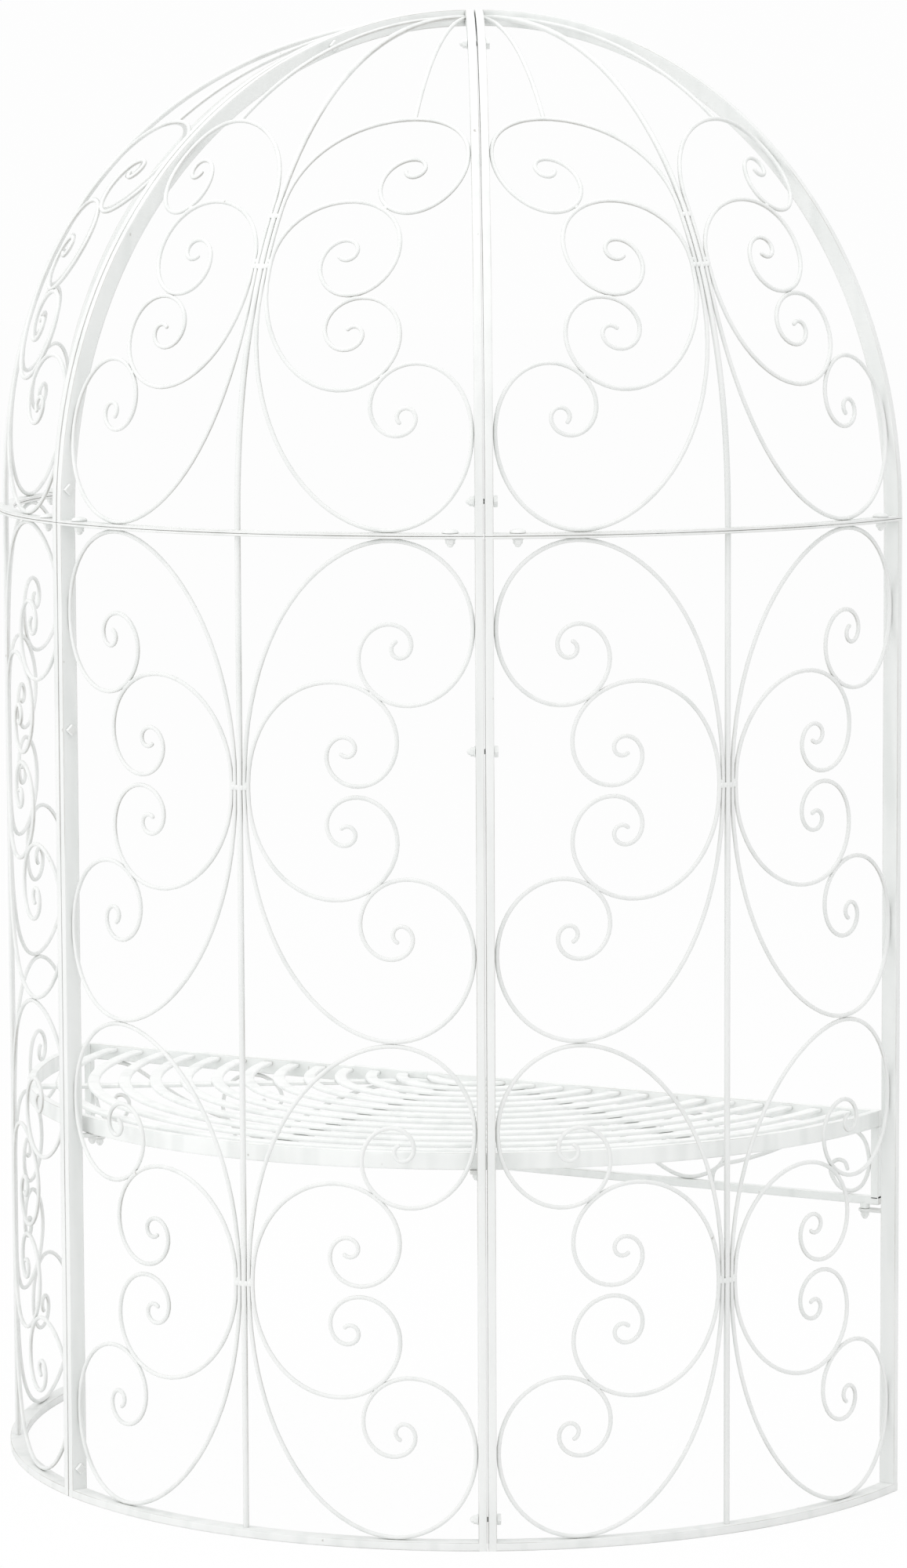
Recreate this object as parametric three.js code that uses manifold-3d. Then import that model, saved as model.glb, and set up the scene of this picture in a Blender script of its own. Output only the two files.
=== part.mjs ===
import * as THREE from 'three';
import { mergeVertices } from 'three/addons/utils/BufferGeometryUtils.js';
import Module from 'manifold-3d';

// Arbour seat: a half-round arbour of iron bars and bent wire, with a curved bench inside.
// Three wall panels stand side by side round the back and carry three roof panels that meet at the top.
// Millimetres, +Z up. The origin is on the ground, mid footprint, and the open front faces -Y.
// Inside this file the arbour is drawn round its own upright axis, and moved to the origin at the end.

// Whole arbour
const arbourRadius = 600;
const arbourHeight = 1811;
const wallHeight = 1195;
const panelTurns = [-1, 0, 1];
const panelNames = ['right', 'middle', 'left'];
const panelAngle = THREE.MathUtils.degToRad(58);
const seamGap = 1.5;
const fitGap = 0.3;
const overrun = 40;

// Bars and wire
const barWidth = 10;
const barDepth = 20;
const baseRailHeight = 10;
const ringRailThickness = 3;
const wireWidth = 4.4;
const rodRadius = 3.5;

// Weld across the wires at each waist
const weldHeight = 6;
const weldCover = 1.7;
const waistStraight = 4;
const wireRowGap = 0.6;
const rodWireGap = 0.6;

// Scrolls: how far each one turns, and its bend radii at the start of every quarter turn
const wallBigTurn = THREE.MathUtils.degToRad(781);
const wallBigBendShares = [1.69, 0.31, 0.37, 0.215, 0.165, 0.105, 0.068, 0.036, 0.034, 0.034];
const wallSmallTurn = THREE.MathUtils.degToRad(672);
const wallSmallBendShares = [0.5, 0.308, 0.2, 0.146, 0.098, 0.058, 0.036, 0.034, 0.034];
const roofLowBigTurn = THREE.MathUtils.degToRad(765);
const roofLowBigBendShares = [1.831, 0.297, 0.437, 0.181, 0.167, 0.093, 0.058, 0.036, 0.036, 0.04];
const roofLowSmallTurn = THREE.MathUtils.degToRad(681);
const roofLowSmallBendShares = [0.778, 0.25, 0.198, 0.168, 0.11, 0.087, 0.048, 0.035, 0.03];
const roofHighBigTurn = THREE.MathUtils.degToRad(705);
const roofHighBigBendShares = [1.039, 0.599, 0.476, 0.252, 0.278, 0.129, 0.077, 0.066, 0.066];
const roofHighSmallTurn = THREE.MathUtils.degToRad(676);
const roofHighSmallBendShares = [0.501, 0.506, 0.38, 0.269, 0.234, 0.121, 0.072, 0.072, 0.08];
const bigScrollSteps = 20;
const smallScrollSteps = 16;
const finePerStep = 24;

// Dome: the powers of its superellipse sections, and where its scrolls lie as shares of its climb
const domeRibPower = 2.08;
const domeMiddlePower = 2.26;
const lowBigStartShare = 0.301;
const roofWaistShare = 0.331;
const highBigStartShare = 0.41;
const highBigTopShare = 0.554;
const lowWeldShare = 0.329;
const highWeldShare = 0.398;

// Fasteners
const boltRadius = 3;
const holeRadius = 3.5;
const headRadius = 9.6;
const headEdge = 1.2;
const headHeight = 5;
const blockHeadRadius = 6.9;
const blockHeadHeight = 5;
const flangeRadius = 6.5;
const flangeThickness = 1.5;
const nutRadius = 5.6;
const nutHeight = 4.5;
const capRadius = 4;
const capHeight = 4;
const wallSeamBoltHeights = [36, 945];
const roofLowBoltRise = 40;
const roofHighBoltRadius = 212;
const ringBoltInset = 39;

// Bench
const benchTop = 470;
const benchBarHeight = 20;
const benchBarWidth = 10;
const benchForward = 8.35;
const rimClearance = 8;
const slatCount = 13;
const firstSlatShare = 1.464;
const slatWidth = 15;
const slatThickness = 5;
const slatDrop = 3;
const bearerWidth = 20;
const bearerThickness = 4;
const bearerHubRadius = 30;

// Apron below the front of the bench
const apronBarWidth = 10;
const apronBottom = 353;
const apronScrollSteps = 26;
const bossRadius = 6;
const bossHeight = 5.7;
const outerApronShares = [
  [0.616, -0.02], [0.621, 0.13], [0.641, 0.24], [0.69, 0.335], [0.763, 0.52], [0.836, 0.76], [0.895, 0.95],
  [0.945, 0.99], [0.985, 0.81], [0.997, 0.45], [0.983, 0.15], [0.956, 0.02], [0.926, 0.07], [0.907, 0.24],
  [0.906, 0.39], [0.921, 0.47], [0.938, 0.45], [0.945, 0.35]
];
const innerApronShares = [
  [0.19, 0.58], [0.175, 0.47], [0.155, 0.5], [0.145, 0.66], [0.16, 0.86], [0.2, 0.985], [0.26, 0.93],
  [0.37, 0.62], [0.476, 0.19], [0.527, 0.03], [0.57, 0.01], [0.614, 0.12], [0.639, 0.27], [0.648, 0.46],
  [0.635, 0.75], [0.6, 0.94], [0.545, 0.985], [0.502, 0.85], [0.488, 0.65], [0.502, 0.5], [0.526, 0.49],
  [0.537, 0.59]
];

// Lugs that carry the bench
const lugThickness = 3;
const lugRadius = 8;
const lugRoot = 5;
const rearLugInset = 11;
const frontBoltClearance = 3;
const benchBoltDepth = 9;

// How finely round shapes are drawn
const arcSegments = 7;
const slatArcSegments = 7;
const roundSides = 8;
const capRings = 2;
const ribSteps = 15;
const roofRodSteps = 14;
const sideRodSteps = 7;
const climbSteps = 600;

// Places that follow from the sizes
const halfPanel = panelAngle / 2;
const infillRadius = arbourRadius - barDepth / 2;
const innerRadius = arbourRadius - barDepth;
const stileFace = seamGap / 2 + barWidth;
const ringRailBottom = wallHeight - ringRailThickness;
const roofBase = wallHeight + fitGap;
const roofRailTop = roofBase + ringRailThickness;
const roofRise = arbourHeight - roofBase;
const infillRise = roofRise - barDepth / 2;
const roofLowBoltHeight = wallHeight + roofLowBoltRise;
const bigWireOffset = rodRadius + rodWireGap + wireWidth / 2;
const smallWireOffset = bigWireOffset + wireWidth + wireRowGap;
const openEdgeAngle = (Math.PI - panelTurns.length * panelAngle) / 2;
const benchFront = innerRadius * Math.sin(openEdgeAngle) - benchForward;
const rimRadius = innerRadius - rimClearance;
const benchBottom = benchTop - benchBarHeight;
const benchBack = benchFront + benchBarWidth + fitGap;
const benchMiddle = benchFront + benchBarWidth / 2;
const benchEnd = Math.sqrt(rimRadius ** 2 - benchBack ** 2);
const rimMiddleRadius = rimRadius - benchBarWidth / 2;
const slatPitch = rimMiddleRadius / (slatCount + firstSlatShare);
const apronTop = apronBottom + apronBarWidth;
const endBarFace = benchEnd - apronBarWidth;
const frontBoltX = endBarFace - flangeRadius - frontBoltClearance;
const frontLugTop = apronBottom - bossHeight - fitGap;
const rearLugTop = benchBottom - fitGap;

const wasm = await Module();
wasm.setup();

function toSolid(geometry) {
  const bare = geometry.clone();
  bare.deleteAttribute('normal');
  bare.deleteAttribute('uv');
  const merged = mergeVertices(bare);
  const vertProperties = new Float32Array(merged.attributes.position.array);
  const triVerts = new Uint32Array(merged.index.array);
  return new wasm.Manifold(new wasm.Mesh({ numProp: 3, vertProperties, triVerts }));
}

function toGeometry(solid) {
  const mesh = solid.getMesh();
  const geometry = new THREE.BufferGeometry();
  geometry.setAttribute('position', new THREE.BufferAttribute(mesh.vertProperties, 3));
  geometry.setIndex(new THREE.BufferAttribute(mesh.triVerts, 1));
  geometry.computeVertexNormals();
  return geometry;
}

function joined(parts) {
  return parts.reduce((whole, part) => whole.add(part));
}

function cutBy(body, tools) {
  return tools.reduce((rest, tool) => rest.subtract(tool), body);
}

function piece(name, geometry, colour = 0xf0f1ed, roughness = 0.55) {
  const paint = new THREE.MeshStandardMaterial({ color: colour, roughness, metalness: 0.1 });
  const mesh = new THREE.Mesh(geometry, paint);
  mesh.name = name;
  return mesh;
}

// A box between two corners
function block(low, high) {
  const size = high.map((value, axis) => value - low[axis]);
  const geometry = new THREE.BoxGeometry(...size);
  geometry.translate(...low.map((value, axis) => value + size[axis] / 2));
  return geometry;
}

// A flat plan shape raised from one height to another
function raised(shape, low, high, curveSegments = arcSegments) {
  const depth = high - low;
  const geometry = new THREE.ExtrudeGeometry(shape, { depth, bevelEnabled: false, curveSegments });
  geometry.translate(0, 0, low);
  return geometry;
}

// Part of a flat ring, centred on +Y
function ringShape(inner, outer, halfAngle) {
  const shape = new THREE.Shape();
  const middle = Math.PI / 2;
  shape.absarc(0, 0, outer, middle - halfAngle, middle + halfAngle, false);
  shape.absarc(0, 0, inner, middle + halfAngle, middle - halfAngle, true);
  return shape;
}

// An upright round cutter or rod
function upright(radius, low, high, x = 0, y = 0) {
  const geometry = new THREE.CylinderGeometry(radius, radius, high - low, roundSides);
  geometry.rotateX(Math.PI / 2);
  geometry.translate(x, y, (low + high) / 2);
  return geometry;
}

// A level round cutter across a seam, centred on it
function across(radius, reach, y, z) {
  const geometry = new THREE.CylinderGeometry(radius, radius, 2 * reach, roundSides);
  geometry.rotateZ(Math.PI / 2);
  geometry.translate(0, y, z);
  return geometry;
}

// Turns what was drawn along +Y to the panel's seam: side 1 is its left seam, side -1 its right seam
function atSeam(side, geometry) {
  geometry.rotateZ(side * halfPanel);
  return geometry;
}

// The space of one panel between its two seams
function panelWedge(low, high) {
  const apex = seamGap / 2 / Math.sin(halfPanel);
  const reach = arbourRadius + overrun;
  const shape = new THREE.Shape();
  shape.moveTo(0, apex);
  shape.lineTo(reach * Math.sin(halfPanel), apex + reach * Math.cos(halfPanel));
  shape.lineTo(0, apex + reach / Math.cos(halfPanel));
  shape.lineTo(-reach * Math.sin(halfPanel), apex + reach * Math.cos(halfPanel));
  return toSolid(raised(shape, low - overrun, high + overrun));
}

// A wire that follows given points, with its section turned to given outward directions
class PanelWire extends THREE.Curve {
  constructor(points, outward) {
    super();
    this.points = points;
    this.outward = outward;
  }

  getUtoTmapping(u) {
    return u;
  }

  getPoint(t) {
    return this.points[Math.round(t * (this.points.length - 1))].clone();
  }

  computeFrenetFrames() {
    const last = this.points.length - 1;
    const tangents = this.points.map((point, index) => {
      const before = this.points[Math.max(index - 1, 0)];
      const after = this.points[Math.min(index + 1, last)];
      const arriving = point.clone().sub(before).normalize();
      const leaving = after.clone().sub(point).normalize();
      return arriving.add(leaving).normalize();
    });
    const normals = this.outward.map((direction, index) => {
      const tangent = tangents[index];
      return direction.clone().addScaledVector(tangent, -direction.dot(tangent)).normalize();
    });
    const binormals = tangents.map((tangent, index) => tangent.clone().cross(normals[index]));
    return { tangents, normals, binormals };
  }
}

function squareSection(width) {
  const half = width / 2;
  const shape = new THREE.Shape();
  shape.moveTo(-half, -half);
  shape.lineTo(half, -half);
  shape.lineTo(half, half);
  shape.lineTo(-half, half);
  return shape;
}

function roundSection(radius) {
  const corners = [];
  for (let corner = 0; corner < roundSides; corner += 1) {
    const angle = (2 * Math.PI * corner) / roundSides;
    corners.push(new THREE.Vector2(radius * Math.cos(angle), radius * Math.sin(angle)));
  }
  return new THREE.Shape(corners);
}

// Sweeps a section along places, each with a point and an outward direction
function swept(places, section) {
  const extrudePath = new PanelWire(places.map((place) => place.point), places.map((place) => place.outward));
  return new THREE.ExtrudeGeometry(section, { steps: places.length - 1, extrudePath, bevelEnabled: false });
}

// A scroll bent from straight wire. It sets off along its rod and turns away from it.
// Every chord strays from the true bend by the same amount.
function bendScroll(bendShares, turn, steps) {
  const fineCount = steps * finePerStep;
  const turnStep = turn / fineCount;
  const path = [{ across: 0, along: 0, stray: 0 }];
  for (let index = 0; index < fineCount; index += 1) {
    const angle = (index + 1 / 2) * turnStep;
    const quarters = angle / (Math.PI / 2);
    const bend = Math.floor(quarters);
    const radius = bendShares[bend] * (bendShares[bend + 1] / bendShares[bend]) ** (quarters - bend);
    path.push({
      across: path[index].across + radius * turnStep * Math.sin(angle),
      along: path[index].along + radius * turnStep * Math.cos(angle),
      stray: path[index].stray + Math.sqrt(radius) * turnStep
    });
  }
  const chosen = [path[0]];
  for (let step = 1; step < steps; step += 1) {
    chosen.push(path.find((place) => place.stray >= (path[fineCount].stray * step) / steps));
  }
  chosen.push(path[fineCount]);
  return chosen;
}

function largest(places, key) {
  return Math.max(...places.map((place) => place[key]));
}

// Stretches a scroll and sets it beside its rod: way is 1 for up and -1 for down
function setScroll(scroll, offset, start, way, acrossScale, alongScale) {
  return scroll.map((place) => ({
    across: offset + acrossScale * place.across,
    along: start + way * alongScale * place.along
  }));
}

function mirrored(places) {
  return places.map((place) => ({ across: -place.across, along: place.along }));
}

function wires(paths, toPlace) {
  const both = paths.concat(paths.map(mirrored));
  return both.map((path) => toSolid(swept(path.map(toPlace), squareSection(wireWidth))));
}

// The weld bead that joins the wires of a waist over their rod, drawn flat and then laid on the panel
function waistWeld(place, offset) {
  const half = offset + wireWidth / 2;
  const face = rodRadius + fitGap + weldCover;
  const bead = toSolid(block([-half, -weldHeight / 2, 0], [half, weldHeight / 2, face]));
  const channelRadius = rodRadius + fitGap;
  const channel = new THREE.CylinderGeometry(channelRadius, channelRadius, 2 * weldHeight, roundSides);
  const solid = bead.subtract(toSolid(channel));
  const geometry = toGeometry(solid);
  const sideways = new THREE.Vector3(-1, 0, 0);
  const upward = place.outward.clone().cross(sideways);
  geometry.applyMatrix4(new THREE.Matrix4().makeBasis(sideways, upward, place.outward));
  geometry.translate(...place.point.toArray());
  return toSolid(geometry);
}

// Wall panels

const wallClearHeight = ringRailBottom - baseRailHeight;
const wallHalfMotif = wallClearHeight / 4;
const wireReach = wireWidth / 2 + fitGap;

function wallPlace({ across: distance, along }) {
  const angle = distance / infillRadius;
  const outward = new THREE.Vector3(-Math.sin(angle), Math.cos(angle), 0);
  const point = outward.clone().multiplyScalar(infillRadius).setZ(along);
  return { point, outward };
}

function wallScrollwork(waist) {
  const big = bendScroll(wallBigBendShares, wallBigTurn, bigScrollSteps);
  const small = bendScroll(wallSmallBendShares, wallSmallTurn, smallScrollSteps);
  const sideReach = infillRadius * (halfPanel - Math.asin((stileFace + wireReach) / infillRadius));
  const acrossScale = (sideReach - bigWireOffset) / largest(big, 'across');
  const alongScale = (wallHalfMotif - wireReach - waistStraight) / largest(big, 'along');
  const paths = [[big, bigWireOffset], [small, smallWireOffset]].map(([scroll, offset]) => {
    const high = setScroll(scroll, offset, waist + waistStraight, 1, acrossScale, alongScale);
    const low = setScroll(scroll, offset, waist - waistStraight, -1, acrossScale, alongScale);
    return low.reverse().concat(high);
  });
  const weld = waistWeld(wallPlace({ across: 0, along: waist }), smallWireOffset);
  return toGeometry(joined([...wires(paths, wallPlace), weld]));
}

// Outward side of each panel that has a neighbour: the middle one has two
function sharedSeams(turn) {
  return [-1, 1].filter((side) => Math.abs(turn + side) <= 1);
}

function rearLug(side) {
  const shape = new THREE.Shape();
  const centre = side * rearLugInset;
  shape.moveTo(centre - lugRadius, innerRadius + lugRoot);
  shape.lineTo(centre - lugRadius, rimMiddleRadius);
  shape.absarc(centre, rimMiddleRadius, lugRadius, Math.PI, 2 * Math.PI, false);
  shape.lineTo(centre + lugRadius, innerRadius + lugRoot);
  const low = rearLugTop - lugThickness;
  const plate = toSolid(atSeam(side, raised(shape, low, rearLugTop)));
  const hole = upright(holeRadius, low - overrun, rearLugTop + overrun, centre, rimMiddleRadius);
  return plate.subtract(toSolid(atSeam(side, hole)));
}

// The lug at the open edge of an outer panel, under the end of the apron
function frontLug(turn) {
  const root = Math.sqrt(innerRadius ** 2 - benchMiddle ** 2) + lugRoot;
  const shape = new THREE.Shape();
  shape.moveTo(-turn * root, benchMiddle - lugRadius);
  shape.lineTo(-turn * root, benchMiddle + lugRadius);
  shape.lineTo(-turn * frontBoltX, benchMiddle + lugRadius);
  shape.absarc(-turn * frontBoltX, benchMiddle, lugRadius, Math.PI / 2, -Math.PI / 2, turn < 0);
  const low = frontLugTop - lugThickness;
  const plate = toSolid(raised(shape, low, frontLugTop));
  const hole = upright(holeRadius, low - overrun, frontLugTop + overrun, -turn * frontBoltX, benchMiddle);
  const geometry = toGeometry(plate.subtract(toSolid(hole)));
  geometry.rotateZ(-turn * panelAngle);
  return toSolid(geometry);
}

function railHoles(low, high) {
  return [-1, 1].map((side) => {
    const hole = upright(holeRadius, low - overrun, high + overrun, side * ringBoltInset, infillRadius);
    return toSolid(atSeam(side, hole));
  });
}

function seamHoles(turn, spots) {
  const holes = [];
  for (const side of sharedSeams(turn)) {
    for (const spot of spots) {
      const hole = across(holeRadius, stileFace + barWidth / 2, spot.radius, spot.height);
      holes.push(toSolid(atSeam(side, hole)));
    }
  }
  return holes;
}

const wallSeamSpots = wallSeamBoltHeights.map((height) => ({ radius: infillRadius, height }));

function wallFrame(turn) {
  const rail = ringShape(innerRadius, arbourRadius, halfPanel);
  const bars = [raised(rail, 0, baseRailHeight), raised(rail, ringRailBottom, wallHeight)];
  for (const side of [-1, 1]) {
    const near = Math.min(side * seamGap / 2, side * stileFace);
    const far = Math.max(side * seamGap / 2, side * stileFace);
    const stileTop = wallHeight - ringRailThickness / 2;
    bars.push(atSeam(side, block([near, innerRadius, 0], [far, arbourRadius, stileTop])));
  }
  const trimmed = joined(bars.map(toSolid)).intersect(panelWedge(0, wallHeight));
  const holes = [...railHoles(ringRailBottom, wallHeight), ...seamHoles(turn, wallSeamSpots)];
  const drilled = cutBy(trimmed, holes);
  const lugs = turn === 0 ? [rearLug(-1), rearLug(1)] : [frontLug(turn)];
  return toGeometry(joined([drilled, ...lugs]));
}

function wallPanel(turn, name) {
  const group = new THREE.Group();
  const rod = upright(rodRadius, baseRailHeight + fitGap, ringRailBottom - fitGap, 0, infillRadius);
  group.add(piece(`wall_${name}_frame`, wallFrame(turn)));
  group.add(piece(`wall_${name}_centre_rod`, rod));
  group.add(piece(`wall_${name}_lower_scrollwork`, wallScrollwork(baseRailHeight + wallHalfMotif)));
  group.add(piece(`wall_${name}_upper_scrollwork`, wallScrollwork(ringRailBottom - wallHalfMotif)));
  group.rotation.z = turn * panelAngle;
  return group;
}

// Roof panels: each lies on a dome whose upright sections are superellipses, fullest at the panel's middle

function domePower(turn) {
  return domeMiddlePower + (domeRibPower - domeMiddlePower) * (turn / halfPanel) ** 2;
}

// The share of its rise that the dome has reached at an angle
function riseShare(angle) {
  return Math.sin(angle) ** (2 / domeMiddlePower);
}

function domeRadius(turn, angle) {
  const power = domePower(turn);
  return infillRadius * (1 - riseShare(angle) ** power) ** (1 / power);
}

function domePlace(turn, angle) {
  const radius = domeRadius(turn, angle);
  const level = new THREE.Vector3(-Math.sin(turn), Math.cos(turn), 0);
  const point = level.clone().multiplyScalar(radius).setZ(roofBase + infillRise * riseShare(angle));
  const outward = level.multiplyScalar((radius / infillRadius) ** (domePower(turn) - 1) / infillRadius);
  outward.z = riseShare(angle) ** (domePower(turn) - 1) / infillRise;
  return { point, outward: outward.normalize() };
}

// How far the middle line has climbed from the ring, at evenly spaced angles
const climbs = [0];
for (let step = 1; step <= climbSteps; step += 1) {
  const before = domePlace(0, (Math.PI / 2) * ((step - 1) / climbSteps)).point;
  const after = domePlace(0, (Math.PI / 2) * (step / climbSteps)).point;
  climbs.push(climbs[step - 1] + after.distanceTo(before));
}
const climbLength = climbs[climbSteps];

// The angle at which the middle line has climbed a distance from the ring
function climbAngle(distance) {
  const step = Math.max(climbs.findIndex((climb) => climb >= distance), 1);
  const part = (distance - climbs[step - 1]) / (climbs[step] - climbs[step - 1]);
  return (Math.PI / 2) * ((step - 1 + part) / climbSteps);
}

// The angle at which a line up the dome comes within a radius of the axis
function radiusAngle(turn, radius) {
  const power = domePower(turn);
  const share = (1 - (radius / infillRadius) ** power) ** (1 / power);
  return Math.asin(share ** (domeMiddlePower / 2));
}

function roofPlace({ across: distance, along }) {
  const angle = climbAngle(along);
  return domePlace(distance / domeRadius(0, angle), angle);
}

// The widest place beside a rib at a climb from the ring
function ribReach(along) {
  const angle = climbAngle(along);
  const turn = halfPanel - Math.asin((stileFace + wireReach) / domeRadius(halfPanel, angle));
  return turn * domeRadius(0, angle);
}

// The scale that lets a scroll just reach the rib
function spreadToRib(scroll, start, way, alongScale) {
  const wide = scroll.filter((place) => place.across > largest(scroll, 'across') / 2);
  const scales = wide.map((place) => {
    const reach = ribReach(start + way * alongScale * place.along);
    return (reach - bigWireOffset) / place.across;
  });
  return Math.min(...scales);
}

function topPlace(places) {
  return places.reduce((best, place) => (place.along > best.along ? place : best));
}

function roofScrollwork() {
  const lowBig = bendScroll(roofLowBigBendShares, roofLowBigTurn, bigScrollSteps);
  const lowSmall = bendScroll(roofLowSmallBendShares, roofLowSmallTurn, smallScrollSteps);
  const highBig = bendScroll(roofHighBigBendShares, roofHighBigTurn, bigScrollSteps);
  const highSmall = bendScroll(roofHighSmallBendShares, roofHighSmallTurn, smallScrollSteps);
  const lowStart = lowBigStartShare * climbLength;
  const highStart = highBigStartShare * climbLength;
  const waist = roofWaistShare * climbLength;
  const lowAlong = (lowStart - ringRailThickness - wireReach) / largest(lowBig, 'along');
  const lowAcross = spreadToRib(lowBig, lowStart, -1, lowAlong);
  const highAlong = (highBigTopShare * climbLength - highStart) / largest(highBig, 'along');
  const highAcross = spreadToRib(highBig, highStart, 1, highAlong);
  const big = [
    ...setScroll(lowBig, bigWireOffset, lowStart, -1, lowAcross, lowAlong).reverse(),
    { across: bigWireOffset, along: (lowStart + highStart) / 2 },
    ...setScroll(highBig, bigWireOffset, highStart, 1, highAcross, highAlong)
  ];
  const small = [
    ...setScroll(lowSmall, smallWireOffset, waist - waistStraight, -1, lowAcross, lowAlong).reverse(),
    ...setScroll(highSmall, smallWireOffset, waist + waistStraight, 1, highAcross, highAlong)
  ];
  const welds = [
    waistWeld(roofPlace({ across: 0, along: lowWeldShare * climbLength }), smallWireOffset),
    waistWeld(roofPlace({ across: 0, along: highWeldShare * climbLength }), bigWireOffset)
  ];
  const sides = [-1, 1].map((side) => sideRod(side, topPlace(big)));
  return toGeometry(joined([...wires([big, small], roofPlace), ...welds, ...sides]));
}

// A rod that runs straight up the dome between two angles
function climbingRod(turn, from, to, steps, section) {
  const places = [];
  for (let step = 0; step <= steps; step += 1) {
    places.push(domePlace(turn, from + ((to - from) * step) / steps));
  }
  return swept(places, section);
}

// Runs from the top of a scroll until it meets the rib
function sideRod(side, top) {
  const from = climbAngle(top.along - wireWidth / 4);
  const turn = top.across / domeRadius(0, climbAngle(top.along));
  const to = radiusAngle(turn, (stileFace + wireReach) / Math.sin(halfPanel - turn));
  return toSolid(climbingRod(side * turn, from, to, sideRodSteps, squareSection(wireWidth)));
}

// Runs from the ring to where the two ribs meet
function roofCentreRod() {
  const from = climbAngle(ringRailThickness + fitGap);
  const to = radiusAngle(0, (stileFace + rodRadius + fitGap) / Math.sin(halfPanel));
  return climbingRod(0, from, to, roofRodSteps, roundSection(rodRadius));
}

// The edge of a rib, inside or outside its middle line
function ribEdge(offset) {
  const corners = [];
  for (let step = 0; step <= ribSteps; step += 1) {
    const { point, outward } = domePlace(halfPanel, (Math.PI / 2) * (step / ribSteps));
    point.addScaledVector(outward, offset);
    corners.push(new THREE.Vector2(Math.hypot(point.x, point.y), point.z));
  }
  return corners;
}

function rib(side) {
  const shape = new THREE.Shape([...ribEdge(barDepth / 2), ...ribEdge(-barDepth / 2).reverse()]);
  const geometry = raised(shape, 0, barWidth);
  const outwardAxis = new THREE.Vector3(0, 1, 0);
  const upAxis = new THREE.Vector3(0, 0, 1);
  const sideAxis = new THREE.Vector3(1, 0, 0);
  geometry.applyMatrix4(new THREE.Matrix4().makeBasis(outwardAxis, upAxis, sideAxis));
  geometry.translate(side > 0 ? seamGap / 2 : -stileFace, 0, 0);
  return atSeam(side, geometry);
}

function ribHeight(radius) {
  return roofBase + infillRise * (1 - (radius / infillRadius) ** domeRibPower) ** (1 / domeRibPower);
}

function ribRadius(height) {
  const share = (height - roofBase) / infillRise;
  return infillRadius * (1 - share ** domeRibPower) ** (1 / domeRibPower);
}

const roofSeamSpots = [
  { radius: ribRadius(roofLowBoltHeight), height: roofLowBoltHeight },
  { radius: roofHighBoltRadius, height: ribHeight(roofHighBoltRadius) }
];

function roofFrame(turn) {
  const rail = raised(ringShape(innerRadius, arbourRadius, halfPanel), roofBase, roofRailTop);
  const trimmed = joined([rail, rib(-1), rib(1)].map(toSolid)).intersect(panelWedge(roofBase, arbourHeight));
  return toGeometry(cutBy(trimmed, [...railHoles(roofBase, roofRailTop), ...seamHoles(turn, roofSeamSpots)]));
}

function roofPanel(turn, name) {
  const group = new THREE.Group();
  group.add(piece(`roof_${name}_frame`, roofFrame(turn)));
  group.add(piece(`roof_${name}_centre_rod`, roofCentreRod()));
  group.add(piece(`roof_${name}_scrollwork`, roofScrollwork()));
  group.rotation.z = turn * panelAngle;
  return group;
}

// Bench

function behindFrontRail(solid) {
  const reach = rimRadius + overrun;
  return solid.intersect(toSolid(block([-reach, benchBack, 0], [reach, reach, benchTop + overrun])));
}

function benchFrontRail() {
  return block([-benchEnd, benchFront, benchBottom], [benchEnd, benchFront + benchBarWidth, benchTop]);
}

function benchRim() {
  const shape = ringShape(rimRadius - benchBarWidth, rimRadius, Math.PI / 2);
  const ring = behindFrontRail(toSolid(raised(shape, benchBottom, benchTop, 2 * arcSegments)));
  const holes = [-1, 1].map((side) => {
    const low = benchBottom - overrun;
    const high = benchBottom + benchBoltDepth;
    return toSolid(atSeam(side, upright(holeRadius, low, high, side * rearLugInset, rimMiddleRadius)));
  });
  return toGeometry(cutBy(ring, holes));
}

function slat(index) {
  const middle = rimMiddleRadius - slatPitch * (slatCount - index);
  const shape = ringShape(middle - slatWidth / 2, middle + slatWidth / 2, Math.PI / 2);
  const top = benchTop - slatDrop;
  const segments = Math.round(Math.sqrt(middle / rimMiddleRadius) * slatArcSegments) + 2;
  return toGeometry(behindFrontRail(toSolid(raised(shape, top - slatThickness, top, segments))));
}

// A flat bar under the slats, from the rim towards the middle of the front rail
function bearer(turn) {
  const top = benchTop - slatDrop - slatThickness - fitGap;
  const half = bearerWidth / 2;
  const near = turn === 0 ? 0 : bearerHubRadius;
  const bar = block([-half, near, top - bearerThickness], [half, rimRadius, top]);
  bar.rotateZ(turn * panelAngle);
  const reach = ringShape(0, rimRadius - benchBarWidth - fitGap, Math.PI / 2);
  const inside = toSolid(raised(reach, 0, benchTop, 2 * arcSegments));
  return toGeometry(behindFrontRail(toSolid(bar)).intersect(inside));
}

function apronFrame() {
  const back = benchFront + apronBarWidth;
  const parts = [block([-benchEnd, benchFront, apronBottom], [benchEnd, back, apronTop])];
  const holes = [];
  for (const side of [-1, 1]) {
    const low = Math.min(side * endBarFace, side * benchEnd);
    const high = Math.max(side * endBarFace, side * benchEnd);
    const overlap = apronBarWidth / 2;
    parts.push(block([low, benchFront, apronTop - overlap], [high, back, benchBottom - fitGap]));
    const x = side * frontBoltX;
    parts.push(upright(bossRadius, apronBottom - bossHeight, apronBottom + overlap, x, benchMiddle));
    const holeTop = apronBottom + benchBoltDepth - bossHeight;
    holes.push(toSolid(upright(holeRadius, apronBottom - overrun, holeTop, x, benchMiddle)));
  }
  return toGeometry(cutBy(joined(parts.map(toSolid)), holes));
}

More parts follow.
